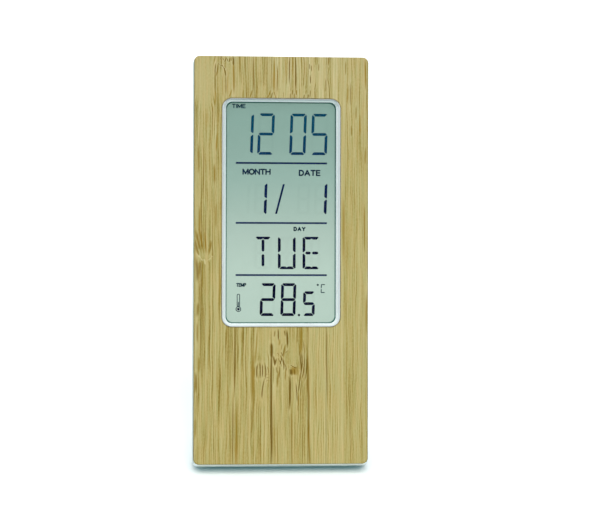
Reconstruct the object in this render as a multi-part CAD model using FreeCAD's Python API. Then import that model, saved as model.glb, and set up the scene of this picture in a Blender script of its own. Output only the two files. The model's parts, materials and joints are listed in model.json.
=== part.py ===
import FreeCAD, Part
import os
from math import acos, atan, cos, degrees, hypot, pi, radians, sin, sqrt, tan

# A slim desk clock with a calendar display. A bamboo panel is stuck on a white two-part housing
# that holds the liquid crystal display, its circuit board and a coin cell. A looped stand folds out
# of the back, and the clock leans back on it.
#
# Everything is built upright, in millimetres: x across the face, y from the bamboo's face towards
# the back, z up the face from the bamboo's lower edge. placed() then leans it back and sets it down
# with its table at z = 0 and its middle over the origin.

Vector = FreeCAD.Vector

# Bamboo panel and the tape behind it
PANEL_WIDTH = 60.0
PANEL_HEIGHT = 140.0
PANEL_THICKNESS = 3.5
PANEL_CORNER_RADIUS = 2.0
PANEL_EDGE_ROUND = 0.4
TAPE_THICKNESS = 0.2
TAPE_INSET = 1.5

# White housing: it stands a little past the panel, and most at the foot
HOUSING_DEPTH = 10.3
SIDE_REVEAL = 0.4
TOP_REVEAL = 0.2
FOOT_REVEAL = 1.25
SHELL_WALL = 1.8
FRONT_WALL = 1.6
FRONT_SHELL_DEPTH = 4.3
HOUSING_CORNER_RADIUS = 2.4
BACK_EDGE_ROUND = 1.5
FRONT_EDGE_ROUND = 0.3
LIP_HEIGHT = 1.0
LIP_THICKNESS = 0.8
LIP_CLEARANCE = 0.1
LIP_CORNER_RADIUS = 1.2
INNER_CORNER_RADIUS = 0.8
LEAN = 15.0
FOOT_FACET_DEPTH = 0.25

# Display opening and its white ring
VIEW_WIDTH = 38.0
VIEW_HEIGHT = 76.3
VIEW_BOTTOM = 48.3
VIEW_CORNER_RADIUS = 2.2
RING_SIDE = 1.3
RING_TOP = 0.9
RING_BOTTOM = 1.1
RING_CORNER_RADIUS = 3.4
RING_LIP = 0.3
RING_PROUD = 0.1
RING_GAP = 0.15
RING_SEAT = 0.3
LENS_DEPTH = 2.3
LENS_THICKNESS = 1.1
LENS_LAND = 0.3
LENS_GAP = 0.1
GASKET_SHOWING = 0.3
WINDOW_INSET = 0.1

# Liquid crystal display, from front to back
GLASS_COVER = 0.8
POLARISER_THICKNESS = 0.2
POLARISER_MARGIN = 0.7
GLASS_THICKNESS = 0.7
GLASS_MARGIN = 1.3
GLASS_REAR_MARGIN = 0.2
GLASS_GAP = 0.2
GLASS_CORNER_RADIUS = 0.3
LEDGE = 2.7
REFLECTOR_THICKNESS = 0.2
HOLDER_MARGIN = 0.8
HOLDER_DEPTH = 2.8
HOLDER_WEB = 0.7
HOLDER_POCKET_INSET = 5.0
HOLDER_CORNER_RADIUS = 1.0
ZEBRA_HEIGHT = 1.6
ZEBRA_INSET = 1.6
ZEBRA_GAP = 0.1
ZEBRA_CORNER_RADIUS = 0.1

# Circuit board and what is soldered to it
BOARD_THICKNESS = 1.0
BOARD_HALF_WIDTH = 22.5
BOARD_CORNER_RADIUS = 1.0
BOARD_MARGIN = 0.3
BOARD_POST_RADIUS = 2.1
BOARD_SCREW_RADIUS = 0.7
BOARD_SCREW_LENGTH = 3.4
BOARD_SCREW_HEAD_RADIUS = 1.6
BOARD_SCREW_HEAD_HEIGHT = 0.9
BOARD_SCREW_LOW_X = 9.5
BOARD_SCREW_HIGH_X = 19.0
BLOB_RADIUS = 5.5
BLOB_HEIGHT = 1.3
BLOB_ABOVE_BOARD_FOOT = 14.0
CRYSTAL_RADIUS = 1.0
CRYSTAL_LENGTH = 6.0
CRYSTAL_X = 9.0
CRYSTAL_LEAD_LENGTH = 1.6
CRYSTAL_LEAD_WIDTH = 0.3
CRYSTAL_LEAD_X = 0.5
BEAD_RADIUS = 1.1
BEAD_X = 6.0
BEAD_LIFT = 0.2
BEAD_LEAD_RADIUS = 0.25
BEAD_LEAD_X = 0.6
CHIP_LENGTH = 1.6
CHIP_WIDTH = 0.8
CHIP_HEIGHT = 0.6
CHIP_PITCH = 4.0
CHIP_COUNT = 8
CHIP_BELOW_BUTTONS = 9.0

# Push buttons on the back, in a row, and their switches
BUTTON_NAMES = ("mode", "set", "up", "down")
BUTTON_PITCH = 12.0
BUTTON_RADIUS = 3.0
BUTTON_GAP = 0.15
BUTTON_PROUD = 0.4
BUTTON_TRAVEL = 0.3
BUTTON_FLANGE_RADIUS = 3.8
BUTTON_FLANGE_HEIGHT = 0.7
BUTTON_FLANGE_GAP = 0.2
BUTTON_EDGE_ROUND = 0.35
BUTTONS_BELOW_VIEW_TOP = 8.6
SWITCH_SIZE = 4.6
SWITCH_HEIGHT = 1.5
PLUNGER_RADIUS = 1.2
PLUNGER_GAP = 0.15
PLUNGER_SUNK = 0.3

# Sounder inside the back and the small vents above the buttons
SOUNDER_RADIUS = 7.5
SOUNDER_THICKNESS = 0.2
CERAMIC_RADIUS = 5.5
CERAMIC_THICKNESS = 0.2
SOUNDER_RING_GAP = 0.2
SOUNDER_RING_WALL = 0.8
SOUNDER_RING_HEIGHT = 1.0
SOUNDER_RING_OPEN = 2.5
SOUNDER_SOLDER_X = 2.5
SOUNDER_SOLDER_INSET = 1.0
SOUNDER_BELOW_BUTTONS = 22.0
SOUND_HOLE_RADIUS = 0.6
SOUND_HOLE_CIRCLE = 3.2
SOUND_HOLE_COUNT = 6
VENT_WIDTH = 1.4
VENT_HEIGHT = 6.0
VENT_PITCH = 4.0
VENT_COUNT = 5
VENTS_ABOVE_BUTTONS = 11.5

# Coin cell, its well and its turning door
CELL_DIAMETER = 20.0
CELL_THICKNESS = 3.2
CELL_CAP_INSET = 1.4
CELL_CAP_HEIGHT = 0.5
CELL_GAP = 0.4
CELL_DOOR_GAP = 0.2
WELL_WALL = 1.15
WELL_FLOOR = 0.8
CONTACT_THICKNESS = 0.2
CONTACT_WIDTH = 3.0
CONTACT_X = 6.0
CONTACT_TAB = 1.0
CONTACT_FINGER_HALF = 1.0
CONTACT_LEAF_TO_SKIRT = 0.3
CONTACT_RIM_GAP = 0.05
CONTACT_PAD_HALF = 3.0
DOOR_THICKNESS = 1.0
DOOR_OVERLAP = 1.5
DOOR_GAP = 0.15
DOOR_SEAT_GAP = 0.1
DOOR_EDGE_ROUND = 0.2
SKIRT_GAP = 0.25
SKIRT_WALL = 0.75
SKIRT_HEIGHT = 1.45
LUG_REACH = 0.95
LUG_HEIGHT = 0.7
LUG_SPAN = 36.0
LUG_SPAN_GAP = 6.0
LIP_UNDER_DOOR = 0.5
LUG_PLAY = 0.15
DOOR_TURN = 60.0
COIN_SLOT_LENGTH = 13.0
COIN_SLOT_WIDTH = 1.6
COIN_SLOT_DEPTH = 0.5

# Looped stand and its hinge
HINGE_HEIGHT = 72.0
STAND_THICKNESS = 3.0
STAND_BAR_WIDTH = 7.0
STAND_CROSSBAR = 8.0
STAND_FOOT_GAP = 0.35
STAND_CORNER_RADIUS = 3.0
STAND_EDGE_ROUND = 0.4
STAND_BACK_INSET = 0.2
CHANNEL_GAP = 0.3
CHANNEL_FLOOR_GAP = 0.2
CHANNEL_WALL = 1.2
WELL_TO_STAND = 0.4
HEEL_CUT = 0.2
HEEL_STOP_GAP = 0.05
SOLE_DEPTH = 0.4
PIN_RADIUS = 0.8
PIN_RUNNING_GAP = 0.05
PIN_IN_STAND = 3.7
PIN_IN_HOUSING = 3.5
PIN_BOSS_HALF = 2.4
SCOOP_REACH = 4.75
SCOOP_RADIUS = 3.1
SCOOP_WIDTH = 14.0
SCOOP_PAD = 1.2

# Housing screws
SCREW_RADIUS = 1.0
SCREW_HEAD_RADIUS = 1.9
SCREW_HEAD_HEIGHT = 1.3
SCREW_HOLE_GAP = 0.02
SCREW_RECESS_DEPTH = 2.0
SCREW_RECESS_GAP = 0.2
SCREW_TIP_GAP = 0.3
SCREW_CROSS_LENGTH = 2.2
SCREW_CROSS_WIDTH = 0.5
SCREW_CROSS_DEPTH = 0.7
BOSS_RADIUS = 2.3
BOSS_TO_WALL = 0.7
MIDDLE_SCREW_HEIGHT = 88.0

# Insulated leads
BATTERY_LEAD_RADIUS = 0.45
BATTERY_LEAD_LAP = 0.8
SOUNDER_LEAD_RADIUS = 0.35

# Layers, counted from the bamboo's face
FACE_Y = PANEL_THICKNESS + TAPE_THICKNESS
FRONT_INNER_Y = FACE_Y + FRONT_WALL
SPLIT_Y = FACE_Y + FRONT_SHELL_DEPTH
BACK_Y = FACE_Y + HOUSING_DEPTH
BACK_INNER_Y = BACK_Y - SHELL_WALL
LENS_BACK_Y = LENS_DEPTH + LENS_THICKNESS
GLASS_SEAT_Y = FACE_Y + GLASS_COVER
GLASS_FRONT_Y = GLASS_SEAT_Y + POLARISER_THICKNESS
GLASS_MIDDLE_Y = GLASS_FRONT_Y + GLASS_THICKNESS
GLASS_BACK_Y = GLASS_MIDDLE_Y + GLASS_THICKNESS
REFLECTOR_BACK_Y = GLASS_BACK_Y + REFLECTOR_THICKNESS
BOARD_FRONT_Y = GLASS_MIDDLE_Y + HOLDER_DEPTH
BOARD_BACK_Y = BOARD_FRONT_Y + BOARD_THICKNESS
STAND_BACK_Y = BACK_Y - STAND_BACK_INSET
STAND_FRONT_Y = STAND_BACK_Y - STAND_THICKNESS
CHANNEL_FLOOR_Y = STAND_FRONT_Y - CHANNEL_FLOOR_GAP
HINGE_Y = STAND_BACK_Y - STAND_THICKNESS / 2
DOOR_INNER_Y = BACK_Y - DOOR_THICKNESS
DOOR_SEAT_Y = DOOR_INNER_Y - DOOR_SEAT_GAP
LUG_TOP_Y = DOOR_SEAT_Y - LIP_UNDER_DOOR - LUG_PLAY
SKIRT_END_Y = DOOR_INNER_Y - SKIRT_HEIGHT
CELL_BACK_Y = DOOR_INNER_Y - CELL_DOOR_GAP
CELL_FRONT_Y = CELL_BACK_Y - CELL_THICKNESS
WELL_FLOOR_Y = CELL_FRONT_Y - 3 * CONTACT_THICKNESS

# Rectangles on the face: lowest x, highest x, lowest z, highest z
PANEL = (-PANEL_WIDTH / 2, PANEL_WIDTH / 2, 0.0, PANEL_HEIGHT)
HOUSING = (
    PANEL[0] - SIDE_REVEAL,
    PANEL[1] + SIDE_REVEAL,
    PANEL[2] - FOOT_REVEAL,
    PANEL[3] + TOP_REVEAL,
)
VIEW = (-VIEW_WIDTH / 2, VIEW_WIDTH / 2, VIEW_BOTTOM, VIEW_BOTTOM + VIEW_HEIGHT)
RING = (
    VIEW[0] - RING_SIDE,
    VIEW[1] + RING_SIDE,
    VIEW[2] - RING_BOTTOM,
    VIEW[3] + RING_TOP,
)

# Places worked out from the sizes above
CELL_RADIUS = CELL_DIAMETER / 2
WELL_RADIUS = CELL_RADIUS + CELL_GAP
SKIRT_INNER = CELL_RADIUS + SKIRT_GAP
SKIRT_OUTER = SKIRT_INNER + SKIRT_WALL
LUG_OUTER = SKIRT_OUTER + LUG_REACH
DOOR_RADIUS = SKIRT_OUTER + DOOR_OVERLAP
WELL_OUTER = DOOR_RADIUS + DOOR_GAP + WELL_WALL
STAND_INNER_X = WELL_OUTER + CHANNEL_GAP + WELL_TO_STAND
STAND_OUTER_X = STAND_INNER_X + STAND_BAR_WIDTH
STAND_LENGTH = HINGE_HEIGHT - STAND_FOOT_GAP
STAND_FOOT_TOP = STAND_FOOT_GAP + STAND_BAR_WIDTH
CELL_Z = STAND_FOOT_TOP + SCOOP_REACH + DOOR_RADIUS + DOOR_GAP
SCREW_X = HOUSING[1] - SHELL_WALL - BOSS_TO_WALL - BOSS_RADIUS
SCREW_LOW_Z = HOUSING[2] + SHELL_WALL + BOSS_TO_WALL + BOSS_RADIUS
SCREW_HIGH_Z = HOUSING[3] - SHELL_WALL - BOSS_TO_WALL - BOSS_RADIUS
SCREW_SEAT_Y = BACK_Y - SCREW_RECESS_DEPTH
SCREW_PLACES = [
    (side * SCREW_X, z)
    for side in (-1, 1)
    for z in (SCREW_LOW_Z, MIDDLE_SCREW_HEIGHT, SCREW_HIGH_Z)
]
HOLDER_LOW_Z = VIEW[2] - GLASS_REAR_MARGIN - LEDGE - HOLDER_MARGIN
HOLDER_HIGH_Z = VIEW[3] + GLASS_REAR_MARGIN + LEDGE + HOLDER_MARGIN
POST_LOW_Z = HOLDER_LOW_Z - BOARD_MARGIN - BOARD_POST_RADIUS
POST_HIGH_Z = HOLDER_HIGH_Z + BOARD_MARGIN + BOARD_POST_RADIUS
BOARD_PLACES = [
    (side * x, z)
    for side in (-1, 1)
    for x, z in ((BOARD_SCREW_LOW_X, POST_LOW_Z), (BOARD_SCREW_HIGH_X, POST_HIGH_Z))
]
BOARD = (
    -BOARD_HALF_WIDTH,
    BOARD_HALF_WIDTH,
    POST_LOW_Z - BOARD_POST_RADIUS - BOARD_MARGIN,
    POST_HIGH_Z + BOARD_POST_RADIUS + BOARD_MARGIN,
)
BUTTON_Z = VIEW[3] - BUTTONS_BELOW_VIEW_TOP
SOUNDER_Z = BUTTON_Z - SOUNDER_BELOW_BUTTONS
FLANGE_BACK_Y = BACK_INNER_Y - BUTTON_FLANGE_GAP
FLANGE_FRONT_Y = FLANGE_BACK_Y - BUTTON_FLANGE_HEIGHT
SWITCH_BACK_Y = BOARD_BACK_Y + SWITCH_HEIGHT
BEAD_Z = BUTTON_Z + VENTS_ABOVE_BUTTONS
COMPONENT_Z = BOARD[2] + BLOB_ABOVE_BOARD_FOOT

# How it stands: the lowest point of the rounded back edge, cut flat by the table
LEAN_COS = cos(radians(LEAN))
LEAN_SIN = sin(radians(LEAN))
EDGE_LOW = (
    (HOUSING[2] + BACK_EDGE_ROUND) * LEAN_COS - (BACK_Y - BACK_EDGE_ROUND) * LEAN_SIN - BACK_EDGE_ROUND
)
TABLE_LIFT = -(EDGE_LOW + FOOT_FACET_DEPTH)
FRONT_REACH = PANEL_EDGE_ROUND * (LEAN_COS + LEAN_SIN - 1)
BACK_REACH = (
    (BACK_Y - BACK_EDGE_ROUND) * LEAN_COS + (HOUSING[3] - BACK_EDGE_ROUND) * LEAN_SIN + BACK_EDGE_ROUND
)
CENTRE_SHIFT = -(FRONT_REACH + BACK_REACH) / 2

# Stand opening: the leg's front corner reaches just below the table, where the sole is cut flat
HINGE_ABOVE_TABLE = HINGE_HEIGHT * LEAN_COS - HINGE_Y * LEAN_SIN + TABLE_LIFT
LEG_REACH = hypot(STAND_LENGTH, STAND_THICKNESS / 2)
LEG_CORNER_ANGLE = degrees(atan(STAND_THICKNESS / 2 / STAND_LENGTH))
LEG_SLOPE = degrees(acos((HINGE_ABOVE_TABLE + SOLE_DEPTH) / LEG_REACH)) + LEG_CORNER_ANGLE
STAND_OPEN = LEAN + LEG_SLOPE
OPEN_COS = cos(radians(STAND_OPEN))
OPEN_SIN = sin(radians(STAND_OPEN))
# The heel above the pin meets the channel's floor when the stand is fully open
HEEL_LENGTH = (HINGE_Y - CHANNEL_FLOOR_Y - HEEL_STOP_GAP - HEEL_CUT * OPEN_COS) / OPEN_SIN
HEEL_SWEEP = hypot(HEEL_LENGTH, STAND_THICKNESS / 2)

# Working values: a size past everything, how far cuts run past a face, how far an added wall runs
# into the wall that carries it, the trim of a slot's round ends, and when two depths are the same
BIG = 400.0
PAST = 1.0
JOIN = 0.5
ROUND_END_TRIM = 0.01
SAME = 1e-6
# Share of the shorter run that a wire's arc takes
ARC_SHARE = 0.45


def grown(rect, by):
    """The rectangle made larger by the same amount on every side."""
    return (rect[0] - by, rect[1] + by, rect[2] - by, rect[3] + by)


def outline(rect, radius, y):
    """A closed wire round the rectangle at depth y, with round corners."""
    x0, x1, z0, z1 = rect
    corners = [(x1, z0, 1, -1), (x1, z1, 1, 1), (x0, z1, -1, 1), (x0, z0, -1, -1)]
    diagonal = radius * (1 - sqrt(0.5))
    edges = []
    joints = []
    for index, (x, z, sx, sz) in enumerate(corners):
        along_x = Vector(x - sx * radius, y, z)
        along_z = Vector(x, y, z - sz * radius)
        middle = Vector(x - sx * diagonal, y, z - sz * diagonal)
        first, last = (along_x, along_z) if index % 2 == 0 else (along_z, along_x)
        joints.append((first, middle, last))
    for index, (first, middle, last) in enumerate(joints):
        edges.append(Part.Arc(first, middle, last).toShape())
        edges.append(Part.LineSegment(last, joints[(index + 1) % 4][0]).toShape())
    return Part.Wire(edges)


def slab(rect, radius, y0, y1):
    """A plate with round corners between two depths."""
    return Part.Face(outline(rect, radius, y0)).extrude(Vector(0, y1 - y0, 0))


def block(x0, x1, y0, y1, z0, z1):
    """A plain box between two corners."""
    return Part.makeBox(x1 - x0, y1 - y0, z1 - z0, Vector(x0, y0, z0))


def rod(x, z, radius, y0, y1):
    """A cylinder from front to back."""
    return Part.makeCylinder(radius, y1 - y0, Vector(x, y0, z), Vector(0, 1, 0))


def cross_rod(x0, x1, y, z, radius):
    """A cylinder across the face."""
    return Part.makeCylinder(radius, x1 - x0, Vector(x0, y, z), Vector(1, 0, 0))


def sector(z, inner, outer, angle, span, y0, y1):
    """A piece of a ring about the vertical middle line, its angle counted from +x towards +z."""
    turns = [radians(angle + share * span / 2) for share in (-1, 0, 1)]

    def at(radius, turn):
        return Vector(radius * cos(turn), y0, z + radius * sin(turn))

    low, middle, high = turns
    edges = [
        Part.Arc(at(outer, low), at(outer, middle), at(outer, high)).toShape(),
        Part.LineSegment(at(outer, high), at(inner, high)).toShape(),
        Part.Arc(at(inner, high), at(inner, middle), at(inner, low)).toShape(),
        Part.LineSegment(at(inner, low), at(outer, low)).toShape(),
    ]
    return Part.Face(Part.Wire(edges)).extrude(Vector(0, y1 - y0, 0))


def rounded_at(shape, y, radius):
    """The shape with its edges at depth y rounded."""
    edges = [edge for edge in shape.Edges if all(abs(v.Y - y) < SAME for v in edge.Vertexes)]
    return shape.makeFillet(radius, edges)


def joined(shape, others):
    """The shape fused with a list of others into one clean solid."""
    return shape.fuse(list(others)).removeSplitter() if others else shape


def without(shape, others):
    """The shape with a list of others cut away."""
    return shape.cut(list(others))


def held_wire(points, radius):
    """An insulated wire along straight runs joined by arcs as large as their two runs allow."""
    corners = [Vector(*point) for point in points]
    edges = []
    start = corners[0]
    for before, corner, after in zip(corners, corners[1:], corners[2:]):
        back = before.sub(corner)
        ahead = after.sub(corner)
        half_turn = (pi - back.getAngle(ahead)) / 2
        reach = ARC_SHARE * min(back.Length, ahead.Length)
        bend = reach / tan(half_turn)
        back.normalize()
        ahead.normalize()
        inward = back.add(ahead).normalize()
        arc_start = corner.add(back * reach)
        arc_middle = corner.add(inward * (bend / cos(half_turn) - bend))
        arc_end = corner.add(ahead * reach)
        edges.append(Part.LineSegment(start, arc_start).toShape())
        edges.append(Part.Arc(arc_start, arc_middle, arc_end).toShape())
        start = arc_end
        print(f"  wire bend radius {bend:.1f} mm, {bend / (2 * radius):.1f} diameters")
    edges.append(Part.LineSegment(start, corners[-1]).toShape())
    path = Part.Wire(edges)
    circle = Part.Circle(corners[0], corners[1].sub(corners[0]), radius)
    wire = path.makePipeShell([Part.Wire([circle.toShape()])], True, False)
    section = pi * radius**2
    print(f"  wire volume over section times length {wire.Volume / (section * path.Length):.4f}")
    return wire


def placed(shape):
    """The shape leant back and set down on the table, over the origin."""
    moved = shape.copy()
    moved.rotate(Vector(0, 0, 0), Vector(1, 0, 0), -LEAN)
    moved.translate(Vector(0, CENTRE_SHIFT, TABLE_LIFT))
    return moved


def above_table(shape):
    """The placed shape with what would lie under the table cut off."""
    under = Part.makeBox(BIG, BIG, BIG, Vector(-BIG / 2, -BIG / 2, -BIG))
    return shape.cut(under)


def bamboo_panel():
    """The face plate, its front edges eased, with the opening for the display's ring."""
    plate = rounded_at(slab(PANEL, PANEL_CORNER_RADIUS, 0, PANEL_THICKNESS), 0, PANEL_EDGE_ROUND)
    opening = slab(grown(RING, RING_GAP), RING_CORNER_RADIUS + RING_GAP, -1, PANEL_THICKNESS + PAST)
    return plate.cut(opening)


def panel_tape():
    """The sheet of double-sided tape that holds the panel."""
    sheet = slab(grown(PANEL, -TAPE_INSET), PANEL_CORNER_RADIUS, PANEL_THICKNESS, FACE_Y)
    opening = slab(grown(RING, TAPE_INSET / 2), RING_CORNER_RADIUS, PANEL_THICKNESS - PAST, FACE_Y + PAST)
    return sheet.cut(opening)


def display_ring():
    """The white ring: a narrow flat lip, then a slope down to the lens, with a rebate behind it."""
    body = slab(RING, RING_CORNER_RADIUS, -RING_PROUD, FACE_Y + RING_SEAT)
    body = rounded_at(body, -RING_PROUD, RING_PROUD)
    funnel = Part.makeLoft(
        [
            outline(grown(RING, -RING_LIP), RING_CORNER_RADIUS - RING_LIP, -RING_PROUD),
            outline(VIEW, VIEW_CORNER_RADIUS, LENS_DEPTH),
        ],
        True,
        True,
    )
    mouth = slab(grown(RING, -RING_LIP), RING_CORNER_RADIUS - RING_LIP, -RING_PROUD - PAST, -RING_PROUD)
    rebate_back = FACE_Y + RING_SEAT + PAST
    rebate = slab(grown(VIEW, LENS_LAND + LENS_GAP), VIEW_CORNER_RADIUS, LENS_DEPTH, rebate_back)
    return without(body, [funnel, mouth, rebate])


def display_lens():
    """The clear window in the ring's rebate."""
    return slab(grown(VIEW, LENS_LAND), VIEW_CORNER_RADIUS - LENS_GAP, LENS_DEPTH, LENS_BACK_Y)


def lens_gasket():
    """The thin black gasket between the lens and the housing; its edge shows as a fine dark line."""
    sheet = slab(grown(VIEW, LENS_LAND), VIEW_CORNER_RADIUS - LENS_GAP, LENS_BACK_Y, FACE_Y)
    opening = slab(grown(VIEW, -GASKET_SHOWING), VIEW_CORNER_RADIUS, LENS_BACK_Y - PAST, FACE_Y + PAST)
    return sheet.cut(opening)


def glass_rect(rear):
    """The outline of the display's front or rear sheet of glass."""
    ledge = GLASS_REAR_MARGIN if rear else GLASS_REAR_MARGIN + LEDGE
    return (VIEW[0] - GLASS_MARGIN, VIEW[1] + GLASS_MARGIN, VIEW[2] - ledge, VIEW[3] + ledge)


def polariser():
    """The film on the front of the display's glass."""
    return slab(grown(VIEW, POLARISER_MARGIN), GLASS_CORNER_RADIUS, GLASS_SEAT_Y, GLASS_FRONT_Y)


def lcd_glass_front():
    """The front glass, which carries the contacts on its two ledges."""
    return slab(glass_rect(False), GLASS_CORNER_RADIUS, GLASS_FRONT_Y, GLASS_MIDDLE_Y)


def lcd_glass_rear():
    """The shorter rear glass."""
    return slab(glass_rect(True), GLASS_CORNER_RADIUS, GLASS_MIDDLE_Y, GLASS_BACK_Y)


def lcd_reflector():
    """The reflecting film behind the glass."""
    rect = grown(glass_rect(True), -GLASS_REAR_MARGIN)
    return slab(rect, GLASS_CORNER_RADIUS, GLASS_BACK_Y, REFLECTOR_BACK_Y)


def zebra_rects():
    """Outlines of the two rubber connectors on the glass ledges."""
    x = VIEW_WIDTH / 2 - ZEBRA_INSET
    middle = GLASS_REAR_MARGIN + GLASS_GAP + (LEDGE - GLASS_GAP) / 2
    return [
        (-x, x, z - ZEBRA_HEIGHT / 2, z + ZEBRA_HEIGHT / 2)
        for z in (VIEW[2] - middle, VIEW[3] + middle)
    ]


def lcd_holder():
    """The frame that holds the glass and both connectors against the board."""
    rect = (
        VIEW[0] - GLASS_MARGIN - HOLDER_MARGIN,
        VIEW[1] + GLASS_MARGIN + HOLDER_MARGIN,
        HOLDER_LOW_Z,
        HOLDER_HIGH_Z,
    )
    body = slab(rect, HOLDER_CORNER_RADIUS, GLASS_MIDDLE_Y, BOARD_FRONT_Y)
    glass_seat = slab(
        grown(glass_rect(True), GLASS_GAP), GLASS_CORNER_RADIUS, GLASS_MIDDLE_Y - PAST, REFLECTOR_BACK_Y
    )
    hollow = slab(
        grown(VIEW, -HOLDER_POCKET_INSET),
        HOLDER_CORNER_RADIUS,
        REFLECTOR_BACK_Y + HOLDER_WEB,
        BOARD_FRONT_Y + PAST,
    )
    slots = [
        slab(grown(zebra, ZEBRA_GAP), ZEBRA_CORNER_RADIUS, GLASS_MIDDLE_Y - PAST, BOARD_FRONT_Y + PAST)
        for zebra in zebra_rects()
    ]
    return without(body, [glass_seat, hollow] + slots)


def zebra_connectors():
    """Two rubber strips that join the glass to the board."""
    return Part.makeCompound(
        [slab(zebra, ZEBRA_CORNER_RADIUS, GLASS_MIDDLE_Y, BOARD_FRONT_Y) for zebra in zebra_rects()]
    )


def front_shell():
    """The shallow front half of the housing with its bosses, posts and display seat."""
    body = rounded_at(slab(HOUSING, HOUSING_CORNER_RADIUS, FACE_Y, SPLIT_Y), FACE_Y, FRONT_EDGE_ROUND)
    hollow = slab(
        grown(HOUSING, -SHELL_WALL), INNER_CORNER_RADIUS, FRONT_INNER_Y, SPLIT_Y + PAST
    )
    lip_seat = slab(
        grown(HOUSING, LIP_THICKNESS + LIP_CLEARANCE - SHELL_WALL),
        LIP_CORNER_RADIUS,
        SPLIT_Y - LIP_HEIGHT - LIP_CLEARANCE,
        SPLIT_Y + PAST,
    )
    window = slab(grown(VIEW, -WINDOW_INSET), VIEW_CORNER_RADIUS, FACE_Y - PAST, FRONT_INNER_Y + PAST)
    ring_groove = slab(grown(RING, RING_GAP), RING_CORNER_RADIUS, FACE_Y - PAST, FACE_Y + RING_SEAT)
    ring_core = slab(grown(VIEW, LENS_LAND), VIEW_CORNER_RADIUS, FACE_Y - PAST, FACE_Y + RING_SEAT + PAST)
    glass_seat = slab(
        grown(glass_rect(False), GLASS_GAP), GLASS_CORNER_RADIUS, GLASS_SEAT_Y, FRONT_INNER_Y + PAST
    )
    shell = without(body, [hollow, lip_seat, window, ring_groove.cut(ring_core), glass_seat])
    bosses = [rod(x, z, BOSS_RADIUS, FRONT_INNER_Y, SPLIT_Y) for x, z in SCREW_PLACES]
    posts = [rod(x, z, BOARD_POST_RADIUS, FRONT_INNER_Y, BOARD_FRONT_Y) for x, z in BOARD_PLACES]
    pilots = [
        rod(x, z, SCREW_RADIUS + SCREW_HOLE_GAP, FRONT_INNER_Y, SPLIT_Y + PAST) for x, z in SCREW_PLACES
    ]
    post_pilots = [
        rod(x, z, BOARD_SCREW_RADIUS + SCREW_HOLE_GAP, FRONT_INNER_Y, BOARD_FRONT_Y + PAST)
        for x, z in BOARD_PLACES
    ]
    return without(joined(shell, bosses + posts), pilots + post_pilots)


def stand_rects(gap):
    """Outer and inner outlines of the folded stand, or of its channel when a gap is given."""
    top = HINGE_HEIGHT + (HEEL_SWEEP if gap else 0)
    outer = (-STAND_OUTER_X - gap, STAND_OUTER_X + gap, STAND_FOOT_GAP - gap, top + gap)
    inner = (
        -STAND_INNER_X + gap,
        STAND_INNER_X - gap,
        STAND_FOOT_TOP + gap,
        HINGE_HEIGHT - STAND_CROSSBAR - gap,
    )
    return outer, inner


def stand_channel(extra, y0, y1):
    """The looped channel for the stand, or with extra its wall, between two depths."""
    outer, inner = stand_rects(CHANNEL_GAP)
    radius = STAND_CORNER_RADIUS
    whole = slab(grown(outer, extra), radius, y0, y1)
    middle = slab(grown(inner, -extra), radius, y0 - PAST, y1 + PAST)
    return whole.cut(middle)


def stand():
    """The looped leg, opened out: two bars, a foot bar and a crossbar with the pin holes and heel."""
    outer, inner = stand_rects(0)
    loop = slab(outer, STAND_CORNER_RADIUS, STAND_FRONT_Y, STAND_BACK_Y)
    square_top = block(
        outer[0], outer[1], STAND_FRONT_Y, STAND_BACK_Y, HINGE_HEIGHT - STAND_CROSSBAR / 2, HINGE_HEIGHT
    )
    loop = joined(loop, [square_top])
    loop = loop.cut(slab(inner, STAND_CORNER_RADIUS, STAND_FRONT_Y - PAST, STAND_BACK_Y + PAST))
    eased = [
        edge
        for edge in loop.Edges
        if all(abs(v.Y - STAND_BACK_Y) < SAME and v.Z < HINGE_HEIGHT - PAST for v in edge.Vertexes)
    ]
    loop = loop.makeFillet(STAND_EDGE_ROUND, eased)
    barrel = cross_rod(outer[0], outer[1], HINGE_Y, HINGE_HEIGHT, STAND_THICKNESS / 2)
    heel = block(
        outer[0] + STAND_CORNER_RADIUS,
        outer[1] - STAND_CORNER_RADIUS,
        HINGE_Y - HEEL_CUT,
        STAND_BACK_Y,
        HINGE_HEIGHT,
        HINGE_HEIGHT + HEEL_LENGTH,
    )
    leg = joined(loop, [barrel, heel])
    bore_end = STAND_OUTER_X - PIN_IN_STAND
    bore_mouth = STAND_OUTER_X + PAST
    bores = [
        cross_rod(x0, x1, HINGE_Y, HINGE_HEIGHT, PIN_RADIUS + PIN_RUNNING_GAP)
        for x0, x1 in ((bore_end, bore_mouth), (-bore_mouth, -bore_end))
    ]
    leg = without(leg, bores)
    leg.rotate(Vector(0, HINGE_Y, HINGE_HEIGHT), Vector(1, 0, 0), STAND_OPEN)
    return leg


def stand_pins():
    """The two steel pins pressed into the housing that the stand turns on."""
    inner = STAND_OUTER_X - PIN_IN_STAND + CHANNEL_GAP
    outer = STAND_OUTER_X + CHANNEL_GAP + PIN_IN_HOUSING
    return Part.makeCompound(
        [
            cross_rod(inner, outer, HINGE_Y, HINGE_HEIGHT, PIN_RADIUS),
            cross_rod(-outer, -inner, HINGE_Y, HINGE_HEIGHT, PIN_RADIUS),
        ]
    )


def door_well():
    """The round well for the coin cell, solid before its bore and door seat are cut."""
    return rod(0, CELL_Z, WELL_OUTER, WELL_FLOOR_Y - WELL_FLOOR, BACK_Y - SHELL_WALL / 2)


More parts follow.
